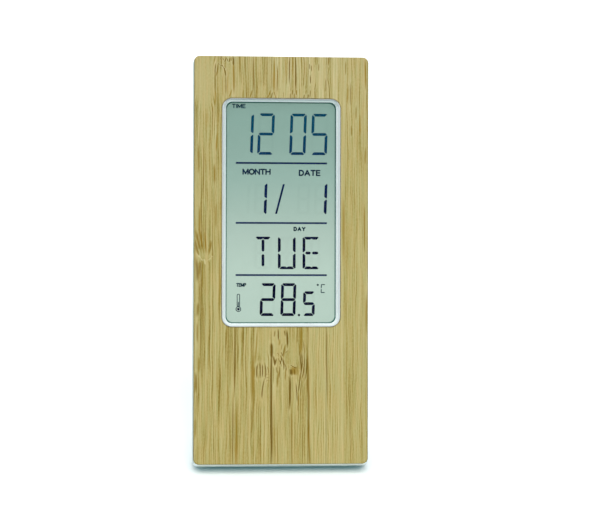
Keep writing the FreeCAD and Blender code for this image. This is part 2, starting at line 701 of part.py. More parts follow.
def door_well_cuts():
    """The bore, the door's seat, the lugs' groove and its two entries, and the contacts' slots."""
    groove_top = DOOR_SEAT_Y - LIP_UNDER_DOOR
    groove_end = SKIRT_END_Y - LUG_PLAY
    groove_radius = LUG_OUTER + DOOR_GAP
    cuts = [
        rod(0, CELL_Z, WELL_RADIUS, WELL_FLOOR_Y, BACK_Y + PAST),
        rod(0, CELL_Z, SKIRT_OUTER + DOOR_GAP, groove_end, BACK_Y + PAST),
        rod(0, CELL_Z, DOOR_RADIUS + DOOR_GAP, DOOR_SEAT_Y, BACK_Y + PAST),
    ]
    for half in (0, 180):
        span = DOOR_TURN + LUG_SPAN + LUG_SPAN_GAP
        cuts.append(
            sector(CELL_Z, CELL_RADIUS, groove_radius, half - DOOR_TURN / 2, span, groove_end, groove_top)
        )
        entry = LUG_SPAN + LUG_SPAN_GAP
        turn = half - DOOR_TURN
        cuts.append(
            sector(CELL_Z, CELL_RADIUS, groove_radius, turn, entry, groove_end, DOOR_SEAT_Y + PAST)
        )
    slot_half = CONTACT_WIDTH / 2 + CELL_GAP
    slot_z = CELL_Z + sqrt(WELL_RADIUS**2 - (CONTACT_X + slot_half) ** 2)
    slot_top = CELL_Z + WELL_OUTER + PAST
    for x in (-CONTACT_X, CONTACT_X):
        cuts.append(
            block(
                x - slot_half,
                x + slot_half,
                WELL_FLOOR_Y,
                CELL_FRONT_Y + CONTACT_THICKNESS,
                slot_z,
                slot_top,
            )
        )
    cuts.append(
        block(
            -CONTACT_PAD_HALF - CELL_GAP,
            CONTACT_X + slot_half,
            WELL_FLOOR_Y,
            groove_end,
            slot_z,
            CELL_Z + WELL_RADIUS + CELL_GAP,
        )
    )
    return cuts


def screw_recesses():
    """Clearance holes and head recesses of the housing screws, cut from the back."""
    cuts = []
    for x, z in SCREW_PLACES:
        cuts.append(rod(x, z, SCREW_RADIUS + SCREW_RECESS_GAP, SPLIT_Y - LIP_HEIGHT - PAST, BACK_Y + PAST))
        cuts.append(rod(x, z, SCREW_HEAD_RADIUS + SCREW_RECESS_GAP, SCREW_SEAT_Y, BACK_Y + PAST))
    return cuts


def back_openings():
    """Button holes, sound holes and vents through the back wall."""
    y0 = BACK_INNER_Y - PAST
    y1 = BACK_Y + PAST
    cuts = [rod(x, BUTTON_Z, BUTTON_RADIUS + BUTTON_GAP, y0, y1) for x in button_places()]
    cuts.append(rod(0, SOUNDER_Z, SOUND_HOLE_RADIUS, BACK_INNER_Y, y1))
    for index in range(SOUND_HOLE_COUNT):
        turn = 2 * pi * index / SOUND_HOLE_COUNT
        x = SOUND_HOLE_CIRCLE * cos(turn)
        z = SOUNDER_Z + SOUND_HOLE_CIRCLE * sin(turn)
        cuts.append(rod(x, z, SOUND_HOLE_RADIUS, BACK_INNER_Y, y1))
    for index in range(VENT_COUNT):
        x = (index - (VENT_COUNT - 1) / 2) * VENT_PITCH
        z = BUTTON_Z + VENTS_ABOVE_BUTTONS
        rect = (x - VENT_WIDTH / 2, x + VENT_WIDTH / 2, z - VENT_HEIGHT / 2, z + VENT_HEIGHT / 2)
        cuts.append(slab(rect, VENT_WIDTH / 2 - ROUND_END_TRIM, y0, y1))
    return cuts


def pin_bosses():
    """Blocks beside the channel that hold the stand's pins."""
    inner = STAND_OUTER_X + CHANNEL_GAP
    outer = inner + PIN_IN_HOUSING + CHANNEL_WALL
    z0 = HINGE_HEIGHT - PIN_BOSS_HALF
    z1 = HINGE_HEIGHT + PIN_BOSS_HALF
    y0 = CHANNEL_FLOOR_Y - CHANNEL_WALL
    return [
        block(inner, outer, y0, BACK_INNER_Y, z0, z1),
        block(-outer, -inner, y0, BACK_INNER_Y, z0, z1),
    ]


def rear_shell():
    """The deeper rear half of the housing, with the stand's channel and the coin cell's well."""
    body = rounded_at(slab(HOUSING, HOUSING_CORNER_RADIUS, SPLIT_Y, BACK_Y), BACK_Y, BACK_EDGE_ROUND)
    hollow = slab(
        grown(HOUSING, -SHELL_WALL), INNER_CORNER_RADIUS, SPLIT_Y - PAST, BACK_INNER_Y
    )
    lip_outer = grown(HOUSING, LIP_THICKNESS - SHELL_WALL)
    lip = slab(lip_outer, LIP_CORNER_RADIUS, SPLIT_Y - LIP_HEIGHT, SPLIT_Y + JOIN)
    lip = lip.cut(
        slab(
            grown(HOUSING, -SHELL_WALL),
            INNER_CORNER_RADIUS,
            SPLIT_Y - LIP_HEIGHT - PAST,
            SPLIT_Y + PAST,
        )
    )
    shell = joined(body.cut(hollow), [lip])
    channel_wall = stand_channel(CHANNEL_WALL, CHANNEL_FLOOR_Y - CHANNEL_WALL, BACK_INNER_Y + JOIN)
    channel_wall = channel_wall.common(
        slab(grown(HOUSING, -SHELL_WALL / 2), INNER_CORNER_RADIUS, 0, BACK_Y)
    )
    scoop_pad = block(
        -SCOOP_WIDTH / 2 - SCOOP_PAD,
        SCOOP_WIDTH / 2 + SCOOP_PAD,
        CHANNEL_FLOOR_Y - CHANNEL_WALL,
        BACK_INNER_Y + JOIN,
        STAND_FOOT_TOP,
        STAND_FOOT_TOP + SCOOP_REACH,
    )
    bosses = [rod(x, z, BOSS_RADIUS, SPLIT_Y, BACK_INNER_Y + JOIN) for x, z in SCREW_PLACES]
    sounder_ring = rod(
        0,
        SOUNDER_Z,
        SOUNDER_RADIUS + SOUNDER_RING_GAP + SOUNDER_RING_WALL,
        BACK_INNER_Y - SOUNDER_RING_HEIGHT,
        BACK_INNER_Y + JOIN,
    )
    open_foot = block(
        -SOUNDER_RADIUS * 2,
        SOUNDER_RADIUS * 2,
        0,
        BACK_INNER_Y,
        SOUNDER_Z - SOUNDER_RADIUS * 2,
        SOUNDER_Z - SOUNDER_RING_OPEN,
    )
    disc_seat = rod(0, SOUNDER_Z, SOUNDER_RADIUS + SOUNDER_RING_GAP, 0, BACK_INNER_Y)
    sounder_ring = without(sounder_ring, [disc_seat, open_foot])
    shell = joined(shell, [channel_wall, scoop_pad, door_well(), sounder_ring] + bosses + pin_bosses())
    scoop = cross_rod(-SCOOP_WIDTH / 2, SCOOP_WIDTH / 2, BACK_Y, STAND_FOOT_TOP + CHANNEL_GAP, SCOOP_RADIUS)
    inner = STAND_OUTER_X
    outer = STAND_OUTER_X + CHANNEL_GAP + PIN_IN_HOUSING
    pin_holes = [
        cross_rod(inner, outer, HINGE_Y, HINGE_HEIGHT, PIN_RADIUS + SCREW_HOLE_GAP),
        cross_rod(-outer, -inner, HINGE_Y, HINGE_HEIGHT, PIN_RADIUS + SCREW_HOLE_GAP),
    ]
    cuts = [stand_channel(0, CHANNEL_FLOOR_Y, BACK_Y + PAST), scoop] + pin_holes
    cuts += door_well_cuts() + screw_recesses() + back_openings()
    return without(shell, cuts)


def battery_cell():
    """The coin cell: a can with its slightly smaller cap towards the front."""
    can = rod(0, CELL_Z, CELL_RADIUS, CELL_FRONT_Y + CELL_CAP_HEIGHT, CELL_BACK_Y)
    cap = rod(0, CELL_Z, CELL_RADIUS - CELL_CAP_INSET, CELL_FRONT_Y, CELL_BACK_Y - CELL_CAP_HEIGHT)
    return joined(can, [cap])


def contact_tab_top():
    """How high the two contacts' solder tabs reach."""
    return CELL_Z + WELL_OUTER + CONTACT_TAB


def battery_contact_negative():
    """A strip on the well's floor with two raised fingers, running out to a solder tab."""
    half = CONTACT_WIDTH / 2
    y0 = WELL_FLOOR_Y
    y1 = y0 + CONTACT_THICKNESS
    strip = block(-CONTACT_X - half, -CONTACT_X + half, y0, y1, CELL_Z - half, contact_tab_top())
    foot = block(-CONTACT_X - half, CONTACT_PAD_HALF, y0, y1, CELL_Z - half, CELL_Z + half)
    fingers = [
        block(
            x - CONTACT_FINGER_HALF,
            x + CONTACT_FINGER_HALF,
            y1,
            CELL_FRONT_Y,
            CELL_Z - half / 2,
            CELL_Z + half / 2,
        )
        for x in (-CONTACT_PAD_HALF / 2, CONTACT_PAD_HALF / 2)
    ]
    return joined(strip, [foot] + fingers)


def battery_contact_positive():
    """A leaf beside the can's rim, turned down into a solder tab."""
    half = CONTACT_WIDTH / 2
    z0 = CELL_Z + CELL_RADIUS + CONTACT_RIM_GAP
    y0 = WELL_FLOOR_Y + CONTACT_THICKNESS
    y1 = y0 + CONTACT_THICKNESS
    leaf_end = SKIRT_END_Y - CONTACT_LEAF_TO_SKIRT
    leaf = block(-CONTACT_PAD_HALF, CONTACT_X, y0, leaf_end, z0, z0 + CONTACT_THICKNESS)
    tab = block(CONTACT_X - half, CONTACT_X + half, y0, y1, z0, contact_tab_top())
    return joined(leaf, [tab])


def battery_door():
    """The round door with its skirt, two lugs and coin slot."""
    disc = rounded_at(rod(0, CELL_Z, DOOR_RADIUS, DOOR_INNER_Y, BACK_Y), BACK_Y, DOOR_EDGE_ROUND)
    skirt = rod(0, CELL_Z, SKIRT_OUTER, SKIRT_END_Y, DOOR_INNER_Y)
    lugs = [
        sector(
            CELL_Z,
            SKIRT_INNER + SKIRT_WALL / 2,
            LUG_OUTER,
            half,
            LUG_SPAN,
            LUG_TOP_Y - LUG_HEIGHT,
            LUG_TOP_Y,
        )
        for half in (0, 180)
    ]
    door = joined(disc, [skirt] + lugs)
    inside = rod(0, CELL_Z, SKIRT_INNER, SKIRT_END_Y - PAST, DOOR_INNER_Y)
    half = COIN_SLOT_LENGTH / 2
    rect = (-half, half, CELL_Z - COIN_SLOT_WIDTH / 2, CELL_Z + COIN_SLOT_WIDTH / 2)
    slot = slab(rect, COIN_SLOT_WIDTH / 2 - ROUND_END_TRIM, BACK_Y - COIN_SLOT_DEPTH, BACK_Y + PAST)
    return without(door, [inside, slot])


def button_places():
    """Where the buttons stand across the back."""
    middle = (len(BUTTON_NAMES) - 1) / 2
    return [(index - middle) * BUTTON_PITCH for index in range(len(BUTTON_NAMES))]


def button_cap(x):
    """A round button with a flange that keeps it behind the wall."""
    head = rod(x, BUTTON_Z, BUTTON_RADIUS, FLANGE_FRONT_Y, BACK_Y + BUTTON_PROUD)
    head = rounded_at(head, BACK_Y + BUTTON_PROUD, BUTTON_EDGE_ROUND)
    return joined(head, [rod(x, BUTTON_Z, BUTTON_FLANGE_RADIUS, FLANGE_FRONT_Y, FLANGE_BACK_Y)])


def switch_plunger(x):
    """The switch's own small plunger, pushed by the button."""
    return rod(x, BUTTON_Z, PLUNGER_RADIUS, SWITCH_BACK_Y - PLUNGER_SUNK, FLANGE_FRONT_Y)


def switch_bodies():
    """The four switches soldered to the board, each with a bore for its plunger."""
    bodies = []
    half = SWITCH_SIZE / 2
    for x in button_places():
        body = block(x - half, x + half, BOARD_BACK_Y, SWITCH_BACK_Y, BUTTON_Z - half, BUTTON_Z + half)
        depth = PLUNGER_SUNK + BUTTON_TRAVEL + PLUNGER_GAP
        bore = rod(x, BUTTON_Z, PLUNGER_RADIUS + PLUNGER_GAP, SWITCH_BACK_Y - depth, SWITCH_BACK_Y + PAST)
        bodies.append(body.cut(bore))
    return Part.makeCompound(bodies)


def main_board():
    """The circuit board with its four screw holes."""
    board = slab(BOARD, BOARD_CORNER_RADIUS, BOARD_FRONT_Y, BOARD_BACK_Y)
    holes = [
        rod(x, z, BOARD_SCREW_RADIUS + SCREW_RECESS_GAP, BOARD_FRONT_Y - PAST, BOARD_BACK_Y + PAST)
        for x, z in BOARD_PLACES
    ]
    return without(board, holes)


def controller_blob():
    """The black resin drop over the clock's chip: a cap of a large ball."""
    ball_radius = (BLOB_RADIUS**2 + BLOB_HEIGHT**2) / (2 * BLOB_HEIGHT)
    centre = Vector(0, BOARD_BACK_Y + BLOB_HEIGHT - ball_radius, COMPONENT_Z)
    keep = rod(0, COMPONENT_Z, BLOB_RADIUS + PAST, BOARD_BACK_Y, BOARD_BACK_Y + BLOB_HEIGHT + PAST)
    return Part.makeSphere(ball_radius, centre).common(keep)


def quartz_crystal():
    """The tuning-fork crystal's can lying on the board, with two leads."""
    z0 = COMPONENT_Z - CRYSTAL_LENGTH / 2
    y = BOARD_BACK_Y + CRYSTAL_RADIUS
    can = Part.makeCylinder(CRYSTAL_RADIUS, CRYSTAL_LENGTH, Vector(CRYSTAL_X, y, z0), Vector(0, 0, 1))
    leads = [
        block(
            CRYSTAL_X + side * CRYSTAL_LEAD_X - CRYSTAL_LEAD_WIDTH / 2,
            CRYSTAL_X + side * CRYSTAL_LEAD_X + CRYSTAL_LEAD_WIDTH / 2,
            BOARD_BACK_Y,
            BOARD_BACK_Y + 2 * CRYSTAL_LEAD_WIDTH,
            z0 - CRYSTAL_LEAD_LENGTH,
            z0 + CRYSTAL_LEAD_WIDTH,
        )
        for side in (-1, 1)
    ]
    return joined(can, leads)


def thermistor():
    """The temperature bead on its two leads, behind the vents."""
    centre = Vector(BEAD_X, BOARD_BACK_Y + BEAD_LIFT + BEAD_RADIUS, BEAD_Z)
    leads = [
        rod(BEAD_X + side * BEAD_LEAD_X, BEAD_Z, BEAD_LEAD_RADIUS, BOARD_BACK_Y, centre.y)
        for side in (-1, 1)
    ]
    return joined(Part.makeSphere(BEAD_RADIUS, centre), leads)


def chip_components():
    """A row of small resistors and capacitors."""
    middle = (CHIP_COUNT - 1) / 2
    z = BUTTON_Z - CHIP_BELOW_BUTTONS
    return Part.makeCompound(
        [
            block(
                (index - middle) * CHIP_PITCH - CHIP_LENGTH / 2,
                (index - middle) * CHIP_PITCH + CHIP_LENGTH / 2,
                BOARD_BACK_Y,
                BOARD_BACK_Y + CHIP_HEIGHT,
                z - CHIP_WIDTH / 2,
                z + CHIP_WIDTH / 2,
            )
            for index in range(CHIP_COUNT)
        ]
    )


def sounder_disc():
    """The brass disc of the sounder, stuck inside the back."""
    return rod(0, SOUNDER_Z, SOUNDER_RADIUS, BACK_INNER_Y - SOUNDER_THICKNESS, BACK_INNER_Y)


def sounder_ceramic():
    """The ceramic wafer on the brass disc."""
    y1 = BACK_INNER_Y - SOUNDER_THICKNESS
    return rod(0, SOUNDER_Z, CERAMIC_RADIUS, y1 - CERAMIC_THICKNESS, y1)


def sounder_lead(side):
    """One of the sounder's two leads, from the disc down to the board."""
    on_ceramic = side > 0
    solder_x = SOUNDER_SOLDER_X if on_ceramic else -SOUNDER_RADIUS + SOUNDER_SOLDER_INSET
    disc_y = BACK_INNER_Y - SOUNDER_THICKNESS - (CERAMIC_THICKNESS if on_ceramic else 0)
    y0 = disc_y - SOUNDER_LEAD_RADIUS
    y1 = BOARD_BACK_Y + SOUNDER_LEAD_RADIUS
    points = [
        (solder_x, y0, SOUNDER_Z),
        (solder_x + side * 0.6, y0 - 0.3, SOUNDER_Z - 5.0),
        (solder_x + side * 2.2, y1 + 0.3, SOUNDER_Z - 9.5),
        (solder_x + side * 2.6, y1, SOUNDER_Z - 13.5),
    ]
    return held_wire(points, SOUNDER_LEAD_RADIUS)


def battery_lead(side):
    """One of the cell's two leads, from its contact's tab up to the board."""
    tab_y = WELL_FLOOR_Y + (2 if side > 0 else 1) * CONTACT_THICKNESS
    y0 = tab_y + BATTERY_LEAD_RADIUS
    y1 = BOARD_BACK_Y + BATTERY_LEAD_RADIUS
    z0 = contact_tab_top() - BATTERY_LEAD_LAP
    points = [
        (side * CONTACT_X, y0, z0),
        (side * (CONTACT_X + 0.2), max(y0, y1) + 0.5, z0 + 2.6),
        (side * (CONTACT_X - 0.7), y1 + 0.3, z0 + 5.4),
        (side * (CONTACT_X - 0.9), y1, z0 + 8.0),
    ]
    return held_wire(points, BATTERY_LEAD_RADIUS)


def screw(x, z, radius, head_radius, head_height, tip_y, seat_y):
    """A cross-head screw with its head's underside at seat_y."""
    shank = rod(x, z, radius, tip_y, seat_y)
    head = rod(x, z, head_radius, seat_y, seat_y + head_height)
    head = rounded_at(head, seat_y + head_height, head_height / 3)
    half = SCREW_CROSS_LENGTH / 2 * head_radius / SCREW_HEAD_RADIUS
    width = SCREW_CROSS_WIDTH / 2
    y0 = seat_y + head_height - SCREW_CROSS_DEPTH
    y1 = seat_y + head_height + PAST
    cross = [
        block(x - half, x + half, y0, y1, z - width, z + width),
        block(x - width, x + width, y0, y1, z - half, z + half),
    ]
    return without(joined(shank, [head]), cross)


def shell_screws():
    """Six screws that hold the two shells together."""
    tip = FRONT_INNER_Y + SCREW_TIP_GAP
    return Part.makeCompound(
        [
            screw(x, z, SCREW_RADIUS, SCREW_HEAD_RADIUS, SCREW_HEAD_HEIGHT, tip, SCREW_SEAT_Y)
            for x, z in SCREW_PLACES
        ]
    )


def board_screws():
    """Four small screws that hold the board to its posts."""
    tip = BOARD_BACK_Y - BOARD_SCREW_LENGTH
    return Part.makeCompound(
        [
            screw(
                x,
                z,
                BOARD_SCREW_RADIUS,
                BOARD_SCREW_HEAD_RADIUS,
                BOARD_SCREW_HEAD_HEIGHT,
                tip,
                BOARD_BACK_Y,
            )
            for x, z in BOARD_PLACES
        ]
    )


def build_parts():
    """Every sub-part, leant back and standing on the table, by name."""
    upright = {
        "bamboo_panel": bamboo_panel(),
        "panel_tape": panel_tape(),
        "display_ring": display_ring(),
        "display_lens": display_lens(),
        "lens_gasket": lens_gasket(),
        "lcd_polariser": polariser(),
        "lcd_glass_front": lcd_glass_front(),
        "lcd_glass_rear": lcd_glass_rear(),
        "lcd_reflector": lcd_reflector(),
        "lcd_holder": lcd_holder(),
        "zebra_connectors": zebra_connectors(),
        "front_shell": front_shell(),
        "rear_shell": rear_shell(),
        "main_board": main_board(),
        "controller_blob": controller_blob(),
        "quartz_crystal": quartz_crystal(),
        "thermistor": thermistor(),
        "chip_components": chip_components(),
        "switch_bodies": switch_bodies(),
        "sounder_disc": sounder_disc(),
        "sounder_ceramic": sounder_ceramic(),
        "sounder_lead_signal": sounder_lead(1),
        "sounder_lead_ground": sounder_lead(-1),
        "battery_cell": battery_cell(),
        "battery_contact_negative": battery_contact_negative(),
        "battery_contact_positive": battery_contact_positive(),
        "battery_lead_positive": battery_lead(1),
        "battery_lead_negative": battery_lead(-1),
        "battery_door": battery_door(),
        "stand": stand(),
        "stand_pins": stand_pins(),
        "shell_screws": shell_screws(),
        "board_screws": board_screws(),
    }
    for name, x in zip(BUTTON_NAMES, button_places()):
        upright["button_" + name] = button_cap(x)
        upright["plunger_" + name] = switch_plunger(x)
    parts = {name: placed(shape) for name, shape in upright.items()}
    for name in ("rear_shell", "front_shell", "stand"):
        parts[name] = above_table(parts[name])
    return parts


def report_place(name, x, y, z):
    """Prints where an upright point comes to lie once the clock stands."""
    print(
        f"{name}: x {x:.4f}, y {y * LEAN_COS + z * LEAN_SIN + CENTRE_SHIFT:.4f},"
        f" z {z * LEAN_COS - y * LEAN_SIN + TABLE_LIFT:.4f} mm"
    )


os.makedirs("parts", exist_ok=True)
for part_name, part_shape in build_parts().items():
    part_shape.exportStep(f"parts/{part_name}.step")
    count = len(part_shape.Solids)
    print(f"{part_name}: {count} solid, {part_shape.Volume:.1f} mm3, valid {part_shape.isValid()}")
report_place("stand hinge", 0, HINGE_Y, HINGE_HEIGHT)
report_place("door axis", 0, BACK_Y, CELL_Z)
report_place("button row", 0, BACK_Y, BUTTON_Z)
print(f"lean {LEAN:.2f} degrees, stand opens {STAND_OPEN:.3f} degrees, leg slopes {LEG_SLOPE:.3f} degrees")
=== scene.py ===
"""Looks for a desk clock with calendar: a bamboo face, a white housing and a reflective read-out.

Lengths are in millimetres of the face's own upright frame unless a name says otherwise: x runs
across, y from the bamboo's front to the back of the housing, and z up from the bamboo's lower edge.
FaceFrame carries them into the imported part's frame, in metres, where the clock leans back.
"""

import json
import logging
import math
from collections.abc import Callable
from dataclasses import dataclass, replace
from enum import Enum
from functools import partial

import bpy
import numpy as np
from mathutils import Matrix, Vector

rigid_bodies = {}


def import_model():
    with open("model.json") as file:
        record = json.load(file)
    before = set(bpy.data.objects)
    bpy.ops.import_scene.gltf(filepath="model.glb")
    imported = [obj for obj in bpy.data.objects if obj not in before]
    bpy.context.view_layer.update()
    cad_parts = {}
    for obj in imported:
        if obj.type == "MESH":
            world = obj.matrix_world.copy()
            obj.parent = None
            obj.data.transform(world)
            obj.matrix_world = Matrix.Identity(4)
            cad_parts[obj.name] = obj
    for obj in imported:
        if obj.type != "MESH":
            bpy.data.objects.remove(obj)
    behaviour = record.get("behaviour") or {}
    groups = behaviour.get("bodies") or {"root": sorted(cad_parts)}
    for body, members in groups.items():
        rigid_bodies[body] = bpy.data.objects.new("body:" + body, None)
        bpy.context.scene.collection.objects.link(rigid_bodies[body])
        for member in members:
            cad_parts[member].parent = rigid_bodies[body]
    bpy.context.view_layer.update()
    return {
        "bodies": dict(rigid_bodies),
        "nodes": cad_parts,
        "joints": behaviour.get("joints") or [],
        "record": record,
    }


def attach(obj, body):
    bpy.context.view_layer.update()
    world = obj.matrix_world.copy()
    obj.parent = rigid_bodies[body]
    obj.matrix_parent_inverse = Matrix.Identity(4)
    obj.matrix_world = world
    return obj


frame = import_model()

LOG = logging.getLogger("desk_clock")
MM = 0.001
Colour = tuple[float, float, float]


def srgb(red: int, green: int, blue: int) -> Colour:
    """Turns a colour written in 0 to 255 into the linear light that a shader takes.

    Args:
        red: red share.
        green: green share.
        blue: blue share.

    Returns:
        The three linear values. Below 0.04045 the curve is a straight line of slope 1/12.92, and
        above it a power of 2.4.
    """
    shares = np.array([red, green, blue]) / 255.0
    linear = np.where(shares <= 0.04045, shares / 12.92, ((shares + 0.055) / 1.055) ** 2.4)
    return tuple(float(value) for value in linear)


# ---- the leaning face


@dataclass(frozen=True)
class FaceFrame:
    """The upright frame of the leaning face.

    Attributes:
        origin: middle of the bamboo's lower front edge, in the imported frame, in metres.
        up: unit vector up along the face.
        back: unit vector from the face into the clock.
    """

    origin: Vector
    up: Vector
    back: Vector

    @classmethod
    def from_packed(cls, packed: dict) -> "FaceFrame":
        """Reads the lean off the battery door's axis, which stands square to the face.


        Returns:
            The frame, whose origin is the bamboo panel's lowest point up the face and its
            foremost point through it.
        """
        door = next(joint for joint in packed["joints"] if joint["name"] == "door_turn")
        back = Vector(door["axis"]).normalized()
        up = Vector((1, 0, 0)).cross(back)
        panel = packed["nodes"]["bamboo_panel"].data
        points = np.empty(len(panel.vertices) * 3)
        panel.vertices.foreach_get("co", points)
        points = points.reshape(-1, 3)
        low = float((points @ np.array(up)).min())
        front = float((points @ np.array(back)).min())
        return cls(origin=up * low + back * front, up=up, back=back)

    @property
    def lean(self) -> float:
        """How far the face leans back from upright, in radians."""
        return math.atan2(self.up.y, self.up.z)

    def place(self, points: np.ndarray) -> np.ndarray:
        """Carries rows of x, y, z in the face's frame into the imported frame, in metres."""
        return np.array(self.origin) + (points * MM) @ self._axes

    def locate(self, points: np.ndarray) -> np.ndarray:
        """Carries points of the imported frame, in metres, back into the face's frame."""
        return (points - np.array(self.origin)) @ self._axes.T / MM

    @property
    def _axes(self) -> np.ndarray:
        """The face's three unit vectors as rows."""
        return np.array([(1.0, 0.0, 0.0), tuple(self.back), tuple(self.up)])


FACE = FaceFrame.from_packed(frame)


# ---- meshes


def mesh_object(name: str, points: np.ndarray, faces: list, body: str) -> bpy.types.Object:
    """Makes one piece from points in the face's frame and lets it ride on a body.

    Args:
        name: the piece's name.
        points: rows of x, y, z in millimetres.
        faces: rows of point numbers, counter-clockwise seen from outside.
        body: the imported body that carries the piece.

    Returns:
        The object, at the origin with its place in its mesh.
    """
    mesh = bpy.data.meshes.new(name)
    mesh.from_pydata(FACE.place(points).tolist(), [], faces)
    mesh.update()
    piece = bpy.data.objects.new(name, mesh)
    bpy.context.scene.collection.objects.link(piece)
    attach(piece, body)
    return piece


@dataclass
class Plates:
    """Thin plates parallel to the face, joined into one mesh.

    Attributes:
        front: y of the plates' front.
        back: y of the plates' back.
    """

    front: float
    back: float

    def __post_init__(self) -> None:
        """Starts with no points and no faces."""
        self.points: list[np.ndarray] = []
        self.faces: list[tuple] = []
        self.count = 0

    def _layers(self, outline: np.ndarray) -> np.ndarray:
        """Stacks an outline at the front and again at the back.

        Args:
            outline: rows of x, z.

        Returns:
            Rows of x, y, z: all of the front, then all of the back.
        """
        low = np.insert(outline, 1, self.front, axis=1)
        high = np.insert(outline, 1, self.back, axis=1)
        return np.concatenate([low, high])

    def plate(self, outline: np.ndarray) -> None:
        """Adds a solid plate: its outline at the front, again at the back, and a wall between.

        Args:
            outline: rows of x, z, counter-clockwise seen from the front.
        """
        size = len(outline)
        ring = np.arange(size)
        after = (ring + 1) % size
        walls = np.stack([ring, ring + size, after + size, after], axis=1) + self.count
        self.points.append(self._layers(outline))
        self.faces.append(tuple((ring + self.count).tolist()))
        self.faces.append(tuple((ring[::-1] + size + self.count).tolist()))
        self.faces += [tuple(wall) for wall in walls.tolist()]
        self.count += 2 * size

    def band(self, outer: np.ndarray, inner: np.ndarray) -> None:
        """Adds a closed band between two outlines of the same number of points.

        Args:
            outer: rows of x, z, counter-clockwise seen from the front.
            inner: the inner outline, point for point beside the outer one.
        """
        size = len(outer)
        ring = np.arange(size)
        after = (ring + 1) % size
        out_front, out_back = ring, ring + size
        in_front, in_back = ring + 2 * size, ring + 3 * size
        quads = np.concatenate(
            [
                np.stack([out_front, out_front[after], in_front[after], in_front], axis=1),
                np.stack([in_back, in_back[after], out_back[after], out_back], axis=1),
                np.stack([out_front, out_back, out_back[after], out_front[after]], axis=1),
                np.stack([in_front[after], in_back[after], in_back, in_front], axis=1),
            ]
        )
        self.points += [self._layers(outer), self._layers(inner)]
        self.faces += [tuple(quad) for quad in (quads + self.count).tolist()]
        self.count += 4 * size

    def piece(self, name: str, body: str, slot: str) -> bpy.types.Object:
        """Makes the plates so far one piece."""
        return mesh_object(name, np.concatenate(self.points), self.faces, body)


def circle(x: float, z: float, radius: float, steps: int = 32) -> np.ndarray:
    """Gives a circle as rows of x, z: centre plus radius times cosine and sine of even turns."""
    turn = np.linspace(0, 2 * math.pi, steps, endpoint=False)
    return np.stack([x + radius * np.cos(turn), z + radius * np.sin(turn)], axis=1)


def rounded(x0: float, x1: float, z0: float, z1: float, radius: float, steps: int = 8) -> np.ndarray:
    """Gives a rectangle with round corners.

    Args:
        x0: left side.
        x1: right side.
        z0: lower side.
        z1: upper side.
        radius: corner radius.
        steps: points in each quarter turn.

    Returns:
        Rows of x, z, counter-clockwise from the lower right corner. Each corner is its centre plus
        the radius along a quarter turn.
    """
    quarter = np.linspace(0, math.pi / 2, steps)
    starts = np.repeat(np.array([-math.pi / 2, 0, math.pi / 2, math.pi]), steps)
    centre_x = np.repeat([x1 - radius, x1 - radius, x0 + radius, x0 + radius], steps)
    centre_z = np.repeat([z0 + radius, z1 - radius, z1 - radius, z0 + radius], steps)
    turn = starts + np.tile(quarter, 4)
    return np.stack([centre_x + radius * np.cos(turn), centre_z + radius * np.sin(turn)], axis=1)


# ---- read-out glyphs


class Bar(Enum):
    """The bars of a seven-bar figure and of a day letter, by where they lie."""

    TOP = "top"
    RIGHT_UPPER = "right upper"
    RIGHT_LOWER = "right lower"
    BOTTOM = "bottom"
    LEFT_LOWER = "left lower"
    LEFT_UPPER = "left upper"
    MIDDLE = "middle"
    DASH_LEFT = "left half of the middle"
    DASH_RIGHT = "right half of the middle"
    STEM_UPPER = "upper stem"
    STEM_LOWER = "lower stem"
    TOP_NOTCHED = "top with a notch"
    BOTTOM_NOTCHED = "bottom with a notch"


SIDES = (Bar.LEFT_UPPER, Bar.LEFT_LOWER, Bar.RIGHT_UPPER, Bar.RIGHT_LOWER)
SEVEN = (Bar.TOP, Bar.MIDDLE, Bar.BOTTOM, *SIDES)
DASHES = (Bar.DASH_LEFT, Bar.DASH_RIGHT)
STEMS = (Bar.STEM_UPPER, Bar.STEM_LOWER)
LETTER = (Bar.TOP_NOTCHED, Bar.BOTTOM_NOTCHED, *DASHES, *STEMS, *SIDES)
GLYPHS = {
    "0": (Bar.TOP, Bar.BOTTOM, *SIDES),
    "1": (Bar.RIGHT_UPPER, Bar.RIGHT_LOWER),
    "2": (Bar.TOP, Bar.RIGHT_UPPER, Bar.MIDDLE, Bar.LEFT_LOWER, Bar.BOTTOM),
    "5": (Bar.TOP, Bar.LEFT_UPPER, Bar.MIDDLE, Bar.RIGHT_LOWER, Bar.BOTTOM),
    "8": SEVEN,
    "T": (Bar.TOP_NOTCHED, *STEMS),
    "U": (Bar.BOTTOM_NOTCHED, *SIDES),
    "E": (Bar.TOP_NOTCHED, *DASHES, Bar.BOTTOM_NOTCHED, Bar.LEFT_UPPER, Bar.LEFT_LOWER),
}


